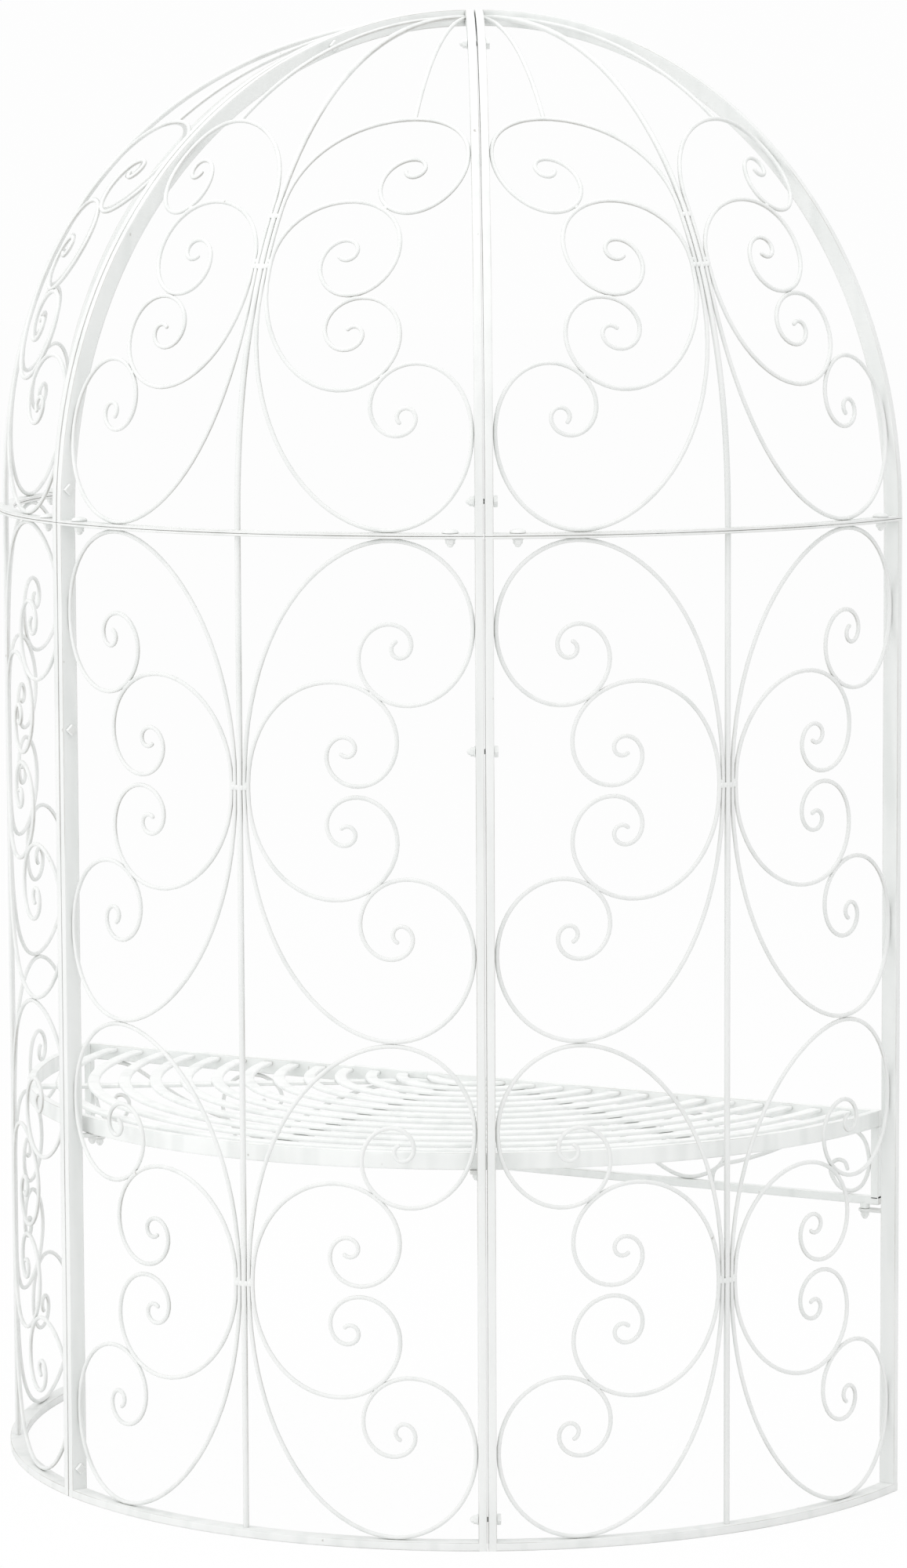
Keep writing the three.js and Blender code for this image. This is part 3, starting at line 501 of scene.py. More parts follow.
def painted_iron(name, colours, brushing, roughness, round_stock, lit_whiteness, upright_shade):
    """Antique white paint on iron: painted cool grey shade below, on sides and in hollows; brushed thin along
    edges.
    """
    material = bpy.data.materials.new(name)
    material.use_nodes = True
    kit = Kit(material.node_tree)
    shader = material.node_tree.nodes["Principled BSDF"]
    places = kit.node("ShaderNodeTexCoord", output="Object")
    facing = kit.output_of(places, "Normal")

    def pattern(kind, where=places):
        scale, detail, rough = PATTERNS[kind]
        inputs = {"Vector": where, "Scale": scale, "Detail": detail, "Roughness": rough}
        return kit.node("ShaderNodeTexNoise", {"noise_dimensions": "3D"}, inputs)

    def vector(operation, *values, output=0):
        return kit.node("ShaderNodeVectorMath", {"operation": operation}, values, output=output)

    clouds, patches, brushed = pattern("clouds"), pattern("patches"), pattern("brushing")
    streaks = pattern("streaks", vector("MULTIPLY", places, STREAK_STRETCH))

    # How a spot faces: upwards, and away from the axis or, on the dome, from the dome's middle
    upward = kit.output_of(kit.node("ShaderNodeSeparateXYZ", {}, (facing,)), "Z")
    outward = vector("SUBTRACT", places, (AXIS.x, AXIS.y, ROOF_BASE))
    outward = vector("NORMALIZE", vector("MAXIMUM", outward, (-BEYOND_ARBOUR, -BEYOND_ARBOUR, 0)))
    turned = vector("DOT_PRODUCT", facing, outward, output="Value")
    sides = (1 - turned.maths("ABSOLUTE")).within(0.3, 0.95)
    # Painted shade on faces turned sideways, except those that face up
    shaded_flanks = sides * (1 - upward.within(0.5, 0.9))
    # Painted shade: round wire is darker on its side turned away from the light
    toward_light = vector("DOT_PRODUCT", facing, LIGHT_SIDE, output="Value")
    shaded_side = (SHADED_SIDE_START - toward_light).within(0.0, 0.7)

    edge = kit.node("ShaderNodeAttribute", {"attribute_name": "edge"}, output="Fac")
    # Painted shade in hollows: ambient occlusion darkens the paint where other iron is near
    inputs = {"Distance": HOLLOW_REACH}
    open_air = kit.node("ShaderNodeAmbientOcclusion", {"samples": HOLLOW_SAMPLES}, inputs, output="AO")
    hollow_shade = (1 - open_air).within(0.4, 1.0)

    # Painted shade below, on flanks and on upright faces, plus random grey clouds and streaks, in the shade
    # colour
    shade_and_streaks = SHADE_BELOW * (0 - upward).within(0.0, 1.0) + SHADE_FLANKS * shaded_flanks
    shade_and_streaks = shade_and_streaks + upright_shade * (1 - upward.within(0.3, 0.9))
    shade_and_streaks = shade_and_streaks + WASH_CLOUDS * clouds.within(0.4, 0.7) + WASH_STREAKS * streaks.within(0.45, 0.75)
    # Lines along round wire: some wear all round, and painted shade on the side away from the light
    wire_lines = round_stock * sides * (WIRE_WEAR_EVERYWHERE + (1 - WIRE_WEAR_EVERYWHERE) * shaded_side)
    lines = (WEAR_EDGES * edge.within(0.5, 1.0) + wire_lines).least(1.0)
    rubbed = WEAR_EVERYWHERE + (1 - WEAR_EVERYWHERE) * patches.within(0.4, 0.62)
    rubbed = rubbed * (1 - BRUSHED_SHARE + BRUSHED_SHARE * brushed.within(0.35, 0.65))
    # Wear on edges, and painted shade in hollows, both mixed in the wear colour
    worn_and_shaded = (lines * rubbed + DARK_SHADE_HOLLOWS * hollow_shade).least(1.0)
    spots = pattern("spots").within(0.76, 0.82) * brushed.within(0.5, 0.65)

    # The paint's whiteness per slot is painted light: paler for pieces lit more brightly
    paint = tuple(lit_whiteness * channel for channel in colours.paint)
    colour = kit.mixed((shade_and_streaks + SHADE_HOLLOWS * hollow_shade).least(1.0), paint, tuple(colours.shade))
    colour = kit.mixed((worn_and_shaded.most(spots) * brushing).least(1.0), colour, tuple(colours.wear_and_shade))
    rough = roughness + ROUGHER_BRUSHED * (brushed - 0.5) + ROUGHER_WORN * worn_and_shaded
    relief = RELIEF_BRUSHED * brushed + RELIEF_STREAKS * streaks
    inputs = {"Strength": RELIEF_STRENGTH, "Distance": RELIEF_DEPTH, "Height": relief}
    bump = kit.node("ShaderNodeBump", {}, inputs)
    for signal, socket in ((colour, "Base Color"), (rough, "Roughness"), (bump, "Normal")):
        material.node_tree.links.new(signal.socket, shader.inputs[socket])
    shader.inputs["Specular IOR Level"].default_value = SPECULAR
    return material


FINISHES = {}


def finish_of(slot):
    """The material of one of the record's slots, made once."""
    if slot not in FINISHES:
        colours = bpy.context.scene.arbour_colours
        FINISHES[slot] = painted_iron(f"antique_white_{slot}", colours, **LOOKS[slot])
    return FINISHES[slot]


def keep_piece(name, mesh, slot, nodes):
    """Names a finished mesh, gives it its finish if it has none, hangs it on the root and hides the frame's
    parts it replaces.
    """
    mesh.name = name
    if not mesh.materials:
        mesh.materials.append(finish_of(slot))
    piece = bpy.data.objects.new(name, mesh)
    bpy.context.scene.collection.objects.link(piece)
    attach(piece, "root")
    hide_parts(*nodes)


# Bars, swept in mesh code


def edge_layer(work):
    """Says of each vertex how much of an edge it is, which the paint reads for its wear and, at slat ends,
    for painted shade.
    """
    return work.verts.layers.float.get("edge") or work.verts.layers.float.new("edge")


def rounded_section(width, height, edge):
    """Corners of a bar's section, each with how much of an edge it is."""
    points = []
    for turn, (sign_x, sign_y) in enumerate(((1, 1), (-1, 1), (-1, -1), (1, -1))):
        start = turn * math.pi / 2
        centre = Vector((sign_x * (width / 2 - edge), sign_y * (height / 2 - edge)))
        before = Vector((math.cos(start), math.sin(start)))
        after = Vector((-before.y, before.x))
        lengths = (height, width) if turn % 2 == 0 else (width, height)
        inset_before, inset_after = (min(EDGE_REACH * edge, length / 2 - edge) for length in lengths)
        points.append((centre + before * edge - after * inset_before * MIDDLE_CLEARANCE, 0.0))
        for step, wear_and_shade in enumerate(EDGE_WEAR):
            angle = start + math.pi / 4 * step
            points.append((centre + Vector((math.cos(angle), math.sin(angle))) * edge, wear_and_shade))
        points.append((centre + after * edge - before * inset_after * MIDDLE_CLEARANCE, 0.0))
    return points


def sweep_bar(work, places, section):
    """Sweeps a section along places, each with a point, a side direction and an outward one."""
    layer = edge_layer(work)
    rings = []
    for point, side, outward in places:
        ring = []
        for corner, wear_and_shade in section:
            vertex = work.verts.new(point + side * corner.x + outward * corner.y)
            vertex[layer] = wear_and_shade
            ring.append(vertex)
        rings.append(ring)
    faces = [work.faces.new(rings[0]), work.faces.new(rings[-1])]
    for first, second in zip(rings, rings[1:]):
        for index, corner in enumerate(first):
            following = (index + 1) % len(first)
            faces.append(work.faces.new((corner, first[following], second[following], second[index])))
    return faces


def parts_of(faces, kind):
    """The vertices or the edges of some faces, each once and always in the same order."""
    return list(dict.fromkeys(part for face in faces for part in getattr(face, kind)))


def cut_away(work, faces, point, normal):
    """Cuts off what lies beyond a plane and closes the cut."""
    geometry = parts_of(faces, "verts") + parts_of(faces, "edges") + list(faces)
    cut = bmesh.ops.bisect_plane(
        work, geom=geometry, plane_co=point, plane_no=normal, clear_outer=True, dist=CUT_TOLERANCE
    )
    rim = [item for item in cut["geom_cut"] if isinstance(item, bmesh.types.BMEdge) and item.is_valid]
    if rim:
        bmesh.ops.holes_fill(work, edges=rim, sides=0)


def to_mesh(work, place=None):
    """Turns work in progress into a plain mesh with outward faces."""
    bmesh.ops.recalc_face_normals(work, faces=work.faces)
    mesh = bpy.data.meshes.new("work")
    work.to_mesh(mesh)
    work.free()
    if place:
        mesh.transform(place)
    mesh.shade_smooth()
    mesh.set_sharp_from_angle(angle=SHARP_TURN)
    return mesh


def panel_place(turn):
    return AT_AXIS @ Matrix.Rotation(turn * PANEL_ANGLE, 4, "Z")


def level(angle):
    """Outward direction at an angle from the panel's middle, positive to its left."""
    return Vector((-math.sin(angle), math.cos(angle), 0))


def along_ring(radius, height, start, end, steps):
    """Places round the axis for a level bar."""
    places = []
    for step in range(steps + 1):
        outward = level(start + (end - start) * step / steps)
        places.append((outward * radius + UP * height, outward, UP))
    return places


def at_seam(side, x, y, z):
    """A point given beside the seam, turned to the seam of a side."""
    return Matrix.Rotation(side * HALF_PANEL, 3, "Z") @ Vector((x, y, z))


def seam_axes(side):
    turn = Matrix.Rotation(side * HALF_PANEL, 3, "Z")
    return turn @ ACROSS, turn @ OUT


def add_plate(work, outline, low, high):
    """A flat plate with rounded top and bottom edges."""
    layer = edge_layer(work)
    bottom = [work.verts.new((*corner, low)) for corner in outline]
    top = [work.verts.new((*corner, high)) for corner in outline]
    for vertex in bottom + top:
        vertex[layer] = PLATE_WEAR
    faces = [work.faces.new(bottom), work.faces.new(top)]
    for index in range(len(outline)):
        following = (index + 1) % len(outline)
        faces.append(work.faces.new((bottom[index], bottom[following], top[following], top[index])))
    edges = parts_of(faces[:2], "edges")
    bmesh.ops.bevel(work, geom=edges, offset=PLATE_ROUNDING, segments=2, affect="EDGES")


def add_lug(work, root, centre, top):
    """A tongue from its root in a stile to a round end about its bolt."""
    direction = (centre - root).normalized()
    side = Vector((-direction.y, direction.x, 0))
    outline = [root + side * LUG_RADIUS, root - side * LUG_RADIUS]
    for step in range(LUG_STEPS + 1):
        angle = math.pi * step / LUG_STEPS
        ahead, aside = LUG_RADIUS * math.sin(angle), LUG_RADIUS * math.cos(angle)
        outline.append(centre + direction * ahead - side * aside)
    add_plate(work, [corner.xy for corner in outline], top - LUG_THICKNESS, top)


def add_rail(work, bottom, height, edge):
    """A level bar round a panel, from seam to seam."""
    end = HALF_PANEL - math.asin(SEAM_GAP / 2 / INFILL_RADIUS)
    section = rounded_section(BAR_DEPTH, height, edge)
    sweep_bar(work, along_ring(INFILL_RADIUS, bottom + height / 2, -end, end, RING_STEPS), section)


def wall_frame(turn, edge):
    """Base rail, flat ring rail and two stiles, with the lugs that carry the bench."""
    work = bmesh.new()
    add_rail(work, 0, BASE_RAIL_HEIGHT, edge)
    add_rail(work, RING_RAIL_BOTTOM, RING_RAIL_THICKNESS, min(edge, THIN_EDGE))
    bar = rounded_section(BAR_WIDTH, BAR_DEPTH, edge)
    for side in (-1, 1):
        across, outward = seam_axes(side)
        points = [at_seam(side, side * STILE_MIDDLE, INFILL_RADIUS, height) for height in STILE_STOPS]
        sweep_bar(work, [(point, across, outward) for point in points], bar)
        if turn == 0:
            centre = at_seam(side, side * REAR_LUG_INSET, RIM_MIDDLE, 0)
            root = at_seam(side, side * REAR_LUG_INSET, INNER_RADIUS + REAR_LUG_OVERLAP, 0)
            add_lug(work, root, centre, REAR_LUG_TOP)
    if turn != 0:
        back = Matrix.Rotation(-turn * PANEL_ANGLE, 3, "Z")
        root_x = math.sqrt(INNER_RADIUS**2 - BENCH_MIDDLE**2) + FRONT_LUG_OVERLAP
        root, centre = (back @ Vector((-turn * x, BENCH_MIDDLE, 0)) for x in (root_x, FRONT_BOLT_X))
        add_lug(work, root, centre, FRONT_LUG_TOP)
    return to_mesh(work, panel_place(turn))


# Dome


def other_share(share, power):
    """Of the two shares of a place on a rounded outline, one worked out from the other."""
    return max(1 - share**power, 0) ** (1 / power)


def dome_power(turn):
    return MIDDLE_POWER + (RIB_POWER - MIDDLE_POWER) * (turn / HALF_PANEL) ** 2


def rise_share(angle):
    return math.sin(angle) ** (2 / MIDDLE_POWER)


def dome_radius(turn, angle):
    return INFILL_RADIUS * other_share(rise_share(angle), dome_power(turn))


def dome_place(turn, angle):
    """Point and outward direction on the dome."""
    radius, power = dome_radius(turn, angle), dome_power(turn)
    outward = level(turn) * ((radius / INFILL_RADIUS) ** (power - 1) / INFILL_RADIUS)
    outward.z = rise_share(angle) ** (power - 1) / INFILL_RISE
    point = level(turn) * radius
    point.z = ROOF_BASE + INFILL_RISE * rise_share(angle)
    return point, outward.normalized()


def climb_table():
    """How far the dome's middle line has climbed at each step from the ring to the top."""
    climbs = [0.0]
    for step in range(CLIMB_STEPS):
        here, there = (dome_place(0, math.pi / 2 * end / CLIMB_STEPS)[0] for end in (step, step + 1))
        climbs.append(climbs[-1] + (there - here).length)
    return climbs


CLIMBS = climb_table()
CLIMB = CLIMBS[-1]


def climb_angle(distance):
    """Angle at which the dome's middle line has climbed a distance from the ring."""
    step = max(next(index for index, climb in enumerate(CLIMBS) if climb >= distance), 1)
    part = (distance - CLIMBS[step - 1]) / (CLIMBS[step] - CLIMBS[step - 1])
    return math.pi / 2 * (step - 1 + part) / CLIMB_STEPS


def radius_angle(turn, radius):
    """Angle at which a line up the dome comes within a radius of the axis."""
    return math.asin(other_share(radius / INFILL_RADIUS, dome_power(turn)) ** (MIDDLE_POWER / 2))


def roof_frame(turn, edge):
    """Flat ring rail and two curved ribs, each cut off at the panel's other seam."""
    work = bmesh.new()
    add_rail(work, ROOF_BASE, RING_RAIL_THICKNESS, min(edge, THIN_EDGE))
    bar = rounded_section(BAR_WIDTH, BAR_DEPTH, edge)
    for side in (-1, 1):
        across, level_out = seam_axes(side)
        rib = []
        for step in range(RIB_STEPS + 1):
            point, outward = dome_place(HALF_PANEL, math.pi / 2 * step / RIB_STEPS)
            place = at_seam(side, side * STILE_MIDDLE, point.xy.length, point.z)
            rib.append((place, across, level_out * outward.xy.length + UP * outward.z))
        faces = sweep_bar(work, rib, bar)
        cut_away(work, faces, at_seam(-side, -side * SEAM_GAP / 2, 0, 0), side * seam_axes(-side)[0])
    return to_mesh(work, panel_place(turn))


# Scrolls


def bend_scroll(turn_degrees, shares, steps):
    """A scroll bent from straight wire. It sets off along its rod and turns away from it."""
    fine = steps * BEND_FINENESS
    turn_step = math.radians(turn_degrees) / fine
    path = [(0.0, 0.0, 0.0)]
    for index in range(fine):
        angle = (index + 0.5) * turn_step
        quarters = angle / (math.pi / 2)
        bend = int(quarters)
        radius = shares[bend] * (shares[bend + 1] / shares[bend]) ** (quarters - bend)
        across, along, stray = path[-1]
        path.append((
            across + radius * turn_step * math.sin(angle),
            along + radius * turn_step * math.cos(angle),
            stray + math.sqrt(radius) * turn_step,
        ))
    total, chosen, position = path[-1][2], [path[0]], 0
    for step in range(1, steps):
        while path[position][2] < total * step / steps:
            position += 1
        chosen.append(path[position])
    chosen.append(path[-1])
    return [(across, along) for across, along, stray in chosen]


def width_of(scroll):
    return max(place[0] for place in scroll)


def length_of(scroll):
    return max(place[1] for place in scroll)


def set_scroll(scroll, offset, start, way, across_scale, along_scale):
    """Sets off a scroll beside its rod, up or down from where it starts."""
    return [(offset + across_scale * across, start + way * along_scale * along) for across, along in scroll]


def with_mirrored(paths):
    return paths + [[(-across, along) for across, along in path] for path in paths]


def wall_point(place):
    """Point and outward direction of a place on a wall panel."""
    across, along = place
    outward = level(across / INFILL_RADIUS)
    return outward * INFILL_RADIUS + UP * along, outward


def roof_point(place):
    """Point and outward direction of a place on a roof panel."""
    across, along = place
    angle = climb_angle(along)
    return dome_place(across / dome_radius(0, angle), angle)


def beside_bar(radius):
    """Angle from the panel's middle to a wire that lies against its side bar."""
    return HALF_PANEL - math.asin((STILE_FACE + WIRE_REACH) / radius)


def wall_scroll_paths(waist):
    """The four wires of a group: two that run from scroll to scroll through the waist, and their mirrors."""
    big, small = bend_scroll(*WALL_BIG, BIG_STEPS), bend_scroll(*WALL_SMALL, SMALL_STEPS)
    across_scale = (INFILL_RADIUS * beside_bar(INFILL_RADIUS) - BIG_OFFSET) / width_of(big)
    along_scale = (WALL_HALF_MOTIF - WIRE_REACH - WAIST_STRAIGHT) / length_of(big)
    paths = []
    for scroll, offset in ((big, BIG_OFFSET), (small, SMALL_OFFSET)):
        high = set_scroll(scroll, offset, waist + WAIST_STRAIGHT, 1, across_scale, along_scale)
        low = set_scroll(scroll, offset, waist - WAIST_STRAIGHT, -1, across_scale, along_scale)
        paths.append(low[::-1] + high)
    return with_mirrored(paths)


def spread_to_rib(scroll, start, way, along_scale):
    """How much wider a scroll can be drawn before it passes the rib beside it."""
    widest = width_of(scroll)
    scales = []
    for across, along in scroll:
        if across > widest / 2:
            angle = climb_angle(start + way * along_scale * along)
            reach = beside_bar(dome_radius(HALF_PANEL, angle)) * dome_radius(0, angle)
            scales.append((reach - BIG_OFFSET) / across)
    return min(scales)


def roof_scroll_paths():
    """The four wires of a roof panel, and the place where a big one is highest."""
    low_big, low_small = bend_scroll(*ROOF_LOW_BIG, BIG_STEPS), bend_scroll(*ROOF_LOW_SMALL, SMALL_STEPS)
    high_big, high_small = bend_scroll(*ROOF_HIGH_BIG, BIG_STEPS), bend_scroll(*ROOF_HIGH_SMALL, SMALL_STEPS)
    low_start, high_start, waist = LOW_BIG_START * CLIMB, HIGH_BIG_START * CLIMB, ROOF_WAIST * CLIMB
    low_along = (low_start - RING_RAIL_THICKNESS - WIRE_REACH) / length_of(low_big)
    low_across = spread_to_rib(low_big, low_start, -1, low_along)
    high_along = (HIGH_BIG_TOP * CLIMB - high_start) / length_of(high_big)
    high_across = spread_to_rib(high_big, high_start, 1, high_along)
    big = set_scroll(low_big, BIG_OFFSET, low_start, -1, low_across, low_along)[::-1]
    for step in range(1, WAIST_STEPS):
        big.append((BIG_OFFSET, low_start + (high_start - low_start) * step / WAIST_STEPS))
    big += set_scroll(high_big, BIG_OFFSET, high_start, 1, high_across, high_along)
    small = set_scroll(low_small, SMALL_OFFSET, waist - WAIST_STRAIGHT, -1, low_across, low_along)[::-1]
    small += set_scroll(high_small, SMALL_OFFSET, waist + WAIST_STRAIGHT, 1, high_across, high_along)
    return with_mirrored([big, small]), max(big, key=lambda place: place[1])


def up_the_dome(turn, start, end, steps):
    """Points of a line up the dome between two angles."""
    return [dome_place(turn, start + (end - start) * step / steps)[0] for step in range(steps + 1)]


def side_rod(side, top):
    """From the top of a big scroll until it meets the rib."""
    start = climb_angle(top[1])
    turn = top[0] / dome_radius(0, start)
    end = radius_angle(turn, (STILE_FACE + SIDE_ROD_GAP) / math.sin(HALF_PANEL - turn))
    return up_the_dome(side * turn, start, end, SIDE_ROD_STEPS)


# Wire, swept and welded by Geometry Nodes


def wire_tree():
    """Sweeps round wire along chains of edges, and lays weld beads on loose points."""
    kit = TreeKit("bent_wire", {
        "Sides": ("Int", WIRE_SIDES),
        "Half bead": ("Float", 3.5 * MM),
        "Unevenness": ("Float", 0.5 * MM),
        "Finish": ("Material", None),
    })
    inputs = {"Geometry": kit.given("Geometry"), "Selection": kit.stored("bead", "FLOAT")}
    parts = kit.node("GeometryNodeSeparateGeometry", {"domain": "POINT"}, inputs)
    curves = kit.node("GeometryNodeMeshToCurve", {}, {"Mesh": kit.output_of(parts, "Inverted")})
    inputs = {"Resolution": kit.given("Sides"), "Radius": 1.0}
    profile = kit.node("GeometryNodeCurvePrimitiveCircle", {}, inputs)
    inputs = {"Curve": curves, "Profile Curve": profile, "Scale": kit.stored("thickness", "FLOAT")}
    wires = kit.node("GeometryNodeCurveToMesh", {}, {**inputs, "Fill Caps": True})

    points = kit.node("GeometryNodeMeshToPoints", {}, {"Mesh": parts})
    bead = kit.node("GeometryNodeMeshIcoSphere", {}, {"Radius": 1.0, "Subdivisions": BEAD_FINENESS})
    inputs = {0: kit.stored("spread"), "Scale": kit.given("Half bead")}
    size = kit.node("ShaderNodeVectorMath", {"operation": "SCALE"}, inputs)
    inputs = {"Points": points, "Instance": bead, "Rotation": kit.turned("outward", "across"), "Scale": size}
    beads = kit.node("GeometryNodeInstanceOnPoints", {}, inputs)
    beads = kit.node("GeometryNodeRealizeInstances", {}, {"Geometry": beads})
    inputs = {"W": RIPPLE_SEED, "Scale": RIPPLE_SCALE, "Detail": 1.0}
    ripple = kit.node("ShaderNodeTexNoise", {"noise_dimensions": "4D"}, inputs)
    inputs = {0: kit.node("GeometryNodeInputNormal"), "Scale": (ripple - 0.5) * 2 * kit.given("Unevenness")}
    shift = kit.node("ShaderNodeVectorMath", {"operation": "SCALE"}, inputs)
    beads = kit.node("GeometryNodeSetPosition", {}, {"Geometry": beads, "Offset": shift})
    beads = kit.node("GeometryNodeSetShadeSmooth", {}, {"Geometry": beads})

    join = kit.node("GeometryNodeJoinGeometry")
    for part in (wires, beads):
        kit.tree.links.new(part.socket, join.socket.node.inputs[0])
    return kit.end_with(join)


def rounded_ends(points, radius):
    """Adds close points at both ends so that the swept wire ends in a dome."""
    chain = [(point, radius) for point in points]
    for _ in range(2):
        chain.reverse()
        tip, following = chain[0][0], chain[1][0]
        direction = (following - tip).normalized()
        cap = [(tip - direction * radius * (1 - way), radius * share) for way, share in WIRE_END]
        chain = cap + chain
    return chain


def wire_mesh(wires, beads, place):
    """wires: point lists with a radius. beads: point, across, outward and spread."""
    sizes = bpy.context.scene.arbour_sizes
    points, edges = [], []
    layers = {"thickness": [], "bead": [], "spread": [], "outward": [], "across": []}

    def add(point, thickness=0.0, bead=0.0, spread=(0, 0, 0), outward=UP, across=ACROSS):
        points.append(place @ Vector(point))
        layers["thickness"].append(thickness)
        layers["bead"].append(bead)
        layers["spread"].extend(spread)
        layers["outward"].extend(place.to_3x3() @ outward)
        layers["across"].extend(place.to_3x3() @ across)

    for wire, radius in wires:
        first = len(points)
        for point, thickness in rounded_ends(wire, radius):
            add(point, thickness)
        edges.extend((index, index + 1) for index in range(first, len(points) - 1))
    for point, across, outward, spread in beads:
        add(point, 0.0, 1.0, spread, outward, across)
    mesh = bpy.data.meshes.new("work")
    mesh.from_pydata(points, edges, [])
    for name, values in layers.items():
        vector = name in ("spread", "outward", "across")
        attribute = mesh.attributes.new(name, "FLOAT_VECTOR" if vector else "FLOAT", "POINT")
        attribute.data.foreach_set("vector" if vector else "value", values)
    result = apply_tree(mesh, tree_of("wire", wire_tree), {
        "Sides": WIRE_SIDES, "Half bead": sizes.bead / 2, "Unevenness": sizes.unevenness,
        "Finish": finish_of("wire_paint"),
    })
    for name in layers:
        if name in result.attributes:
            result.attributes.remove(result.attributes[name])
    result.shade_smooth()
    result.set_sharp_from_angle(angle=WIRE_SHARP_TURN)
    return result


def rod_mesh(points, place):
    return wire_mesh([(points, bpy.context.scene.arbour_sizes.rod / 2)], [], place)


def scroll_mesh(paths, to_point, beads, side_rods, turn):
    radius = bpy.context.scene.arbour_sizes.wire / 2
    wires = [([to_point(place)[0] for place in path], radius) for path in paths]
    wires += [(points, radius) for points in side_rods]
    return wire_mesh(wires, beads, panel_place(turn))


def waist_beads(to_point, along, offsets, lift):
    """Weld beads over the gaps between the wires of a waist, outside and inside."""
    beads = []
    offsets = sorted({0.0, *offsets, *(-offset for offset in offsets)})
    for first, second in zip(offsets, offsets[1:]):
        for side, drift in WAIST_DRIFTS.items():
            point, outward = to_point(((first + second) / 2, along + (drift if first > 0 else -drift)))
            beads.append((point + outward * side * lift, -ACROSS, outward, WAIST_BEAD))
    return beads


def touching_beads(paths, to_point, reach):
    """Weld beads where two wires come together away from their waist."""
    beads, lines = [], [[to_point(place) for place in path] for path in paths]
    for first in range(len(lines)):
        for second in range(first + 1, len(lines)):
            close = []
            for point, outward in lines[first]:
                partner = min(lines[second], key=lambda other: (other[0] - point).length_squared)
                close.append(((partner[0] - point).length, (point + partner[0]) / 2, outward))
            for index in range(1, len(close) - 1):
                gap, middle, outward = close[index]
                if gap < reach and close[index - 1][0] >= gap < close[index + 1][0]:
                    beads.append((middle, -ACROSS, outward, TOUCH_BEAD))
    return beads


def edge_beads(paths, to_point):
    """Weld beads where the big scrolls touch rails and side bars."""
    beads = []
    for path in paths:
        for key in (lambda place: place[1], lambda place: -place[1], lambda place: abs(place[0])):
            for half in (path[: len(path) // 2], path[len(path) // 2:]):
                place = max(half, key=key)
                if place not in (half[0], half[-1]):
                    point, outward = to_point(place)
                    beads.append((point, -ACROSS, outward, EDGE_BEAD))
    return beads


def scroll_beads(paths, to_point, waists):
    """All weld beads of a group of scrolls. waists: height and offsets of the wires of each waist."""
    wire = bpy.context.scene.arbour_sizes.wire
    beads = []
    for along, offsets in waists:
        beads += waist_beads(to_point, along, offsets, wire * BEAD_LIFT)
    beads += edge_beads((paths[0], paths[2]), to_point)
    return beads + touching_beads(paths, to_point, wire * TOUCH_REACH)


# Bench


def half_ring(radius, height, steps):
    """Places of a half ring about the axis, which ends in front of the bench's front rail."""
    return along_ring(radius, height, -math.pi / 2, math.pi / 2, steps)


def cut_at_rail(work, faces):
    """Cuts off what would reach into the bench's front rail."""
    cut_away(work, faces, Vector((0, BENCH_BACK, 0)), -OUT)


def slat_tree():
    """Sweeps flat bars with rounded edges along level chains of edges."""
    kit = TreeKit("flat_slats", {
        "Width": ("Float", SLAT_WIDTH),
        "Thickness": ("Float", SLAT_THICKNESS),
        "Edge": ("Float", 2 * MM),
        "Finish": ("Material", None),
    })
    curves = kit.node("GeometryNodeMeshToCurve", {}, {"Mesh": kit.given("Geometry")})
    curves = kit.node("GeometryNodeSetCurveNormal", {"mode": "Z_UP"}, {"Curve": curves})
    inputs = {"Width": kit.given("Width"), "Height": kit.given("Thickness")}
    profile = kit.node("GeometryNodeCurvePrimitiveQuadrilateral", {}, inputs)
    inputs = {"Curve": profile, "Radius": kit.given("Edge"), "Limit Radius": True, "Count": SLAT_EDGE_STEPS}
    profile = kit.node("GeometryNodeFilletCurve", {"mode": "POLY"}, inputs)
    inputs = {"Curve": curves, "Profile Curve": profile, "Fill Caps": True}
    return kit.end_with(kit.node("GeometryNodeCurveToMesh", {}, inputs))


def slat_mesh(index, edge):
    """One slat. Where it is cut off at the front rail it is marked for painted shade of the gap there."""
    steps = SLAT_STEPS + SLAT_STEPS_MORE * index
    radius = RIM_MIDDLE - SLAT_PITCH * (SLAT_COUNT - index)
    points = [place[0] for place in half_ring(radius, SLAT_TOP - SLAT_THICKNESS / 2, steps)]
    mesh = bpy.data.meshes.new("work")
    mesh.from_pydata(points, [(step, step + 1) for step in range(steps)], [])
    swept = apply_tree(mesh, tree_of("slats", slat_tree), {
        "Width": SLAT_WIDTH, "Thickness": SLAT_THICKNESS, "Edge": edge, "Finish": finish_of("bench_paint"),
    })
    work = bmesh.new()
    work.from_mesh(swept)
    bpy.data.meshes.remove(swept)
    cut_at_rail(work, list(work.faces))
    layer = edge_layer(work)
    # Painted shade: the slat's end at the front rail is marked as an edge, so the paint darkens it like the
    # gap's shadow
    for vertex in work.verts:
        vertex[layer] = float(vertex.co.y < BENCH_BACK + FIT_GAP)
    return to_mesh(work, AT_AXIS)


def bench_front(edge):
    work = bmesh.new()
    ends = [Vector((share * BENCH_END, BENCH_MIDDLE, BENCH_BAR_MIDDLE)) for share in FRONT_RAIL_STOPS]
    section = rounded_section(BENCH_BAR_WIDTH, BENCH_BAR_HEIGHT, edge)
    sweep_bar(work, [(end, OUT, UP) for end in ends], section)
    return to_mesh(work, AT_AXIS)


def bench_rim(edge):
    work = bmesh.new()
    section = rounded_section(BENCH_BAR_WIDTH, BENCH_BAR_HEIGHT, edge)
    cut_at_rail(work, sweep_bar(work, half_ring(RIM_MIDDLE, BENCH_BAR_MIDDLE, RIM_STEPS), section))
    return to_mesh(work, AT_AXIS)


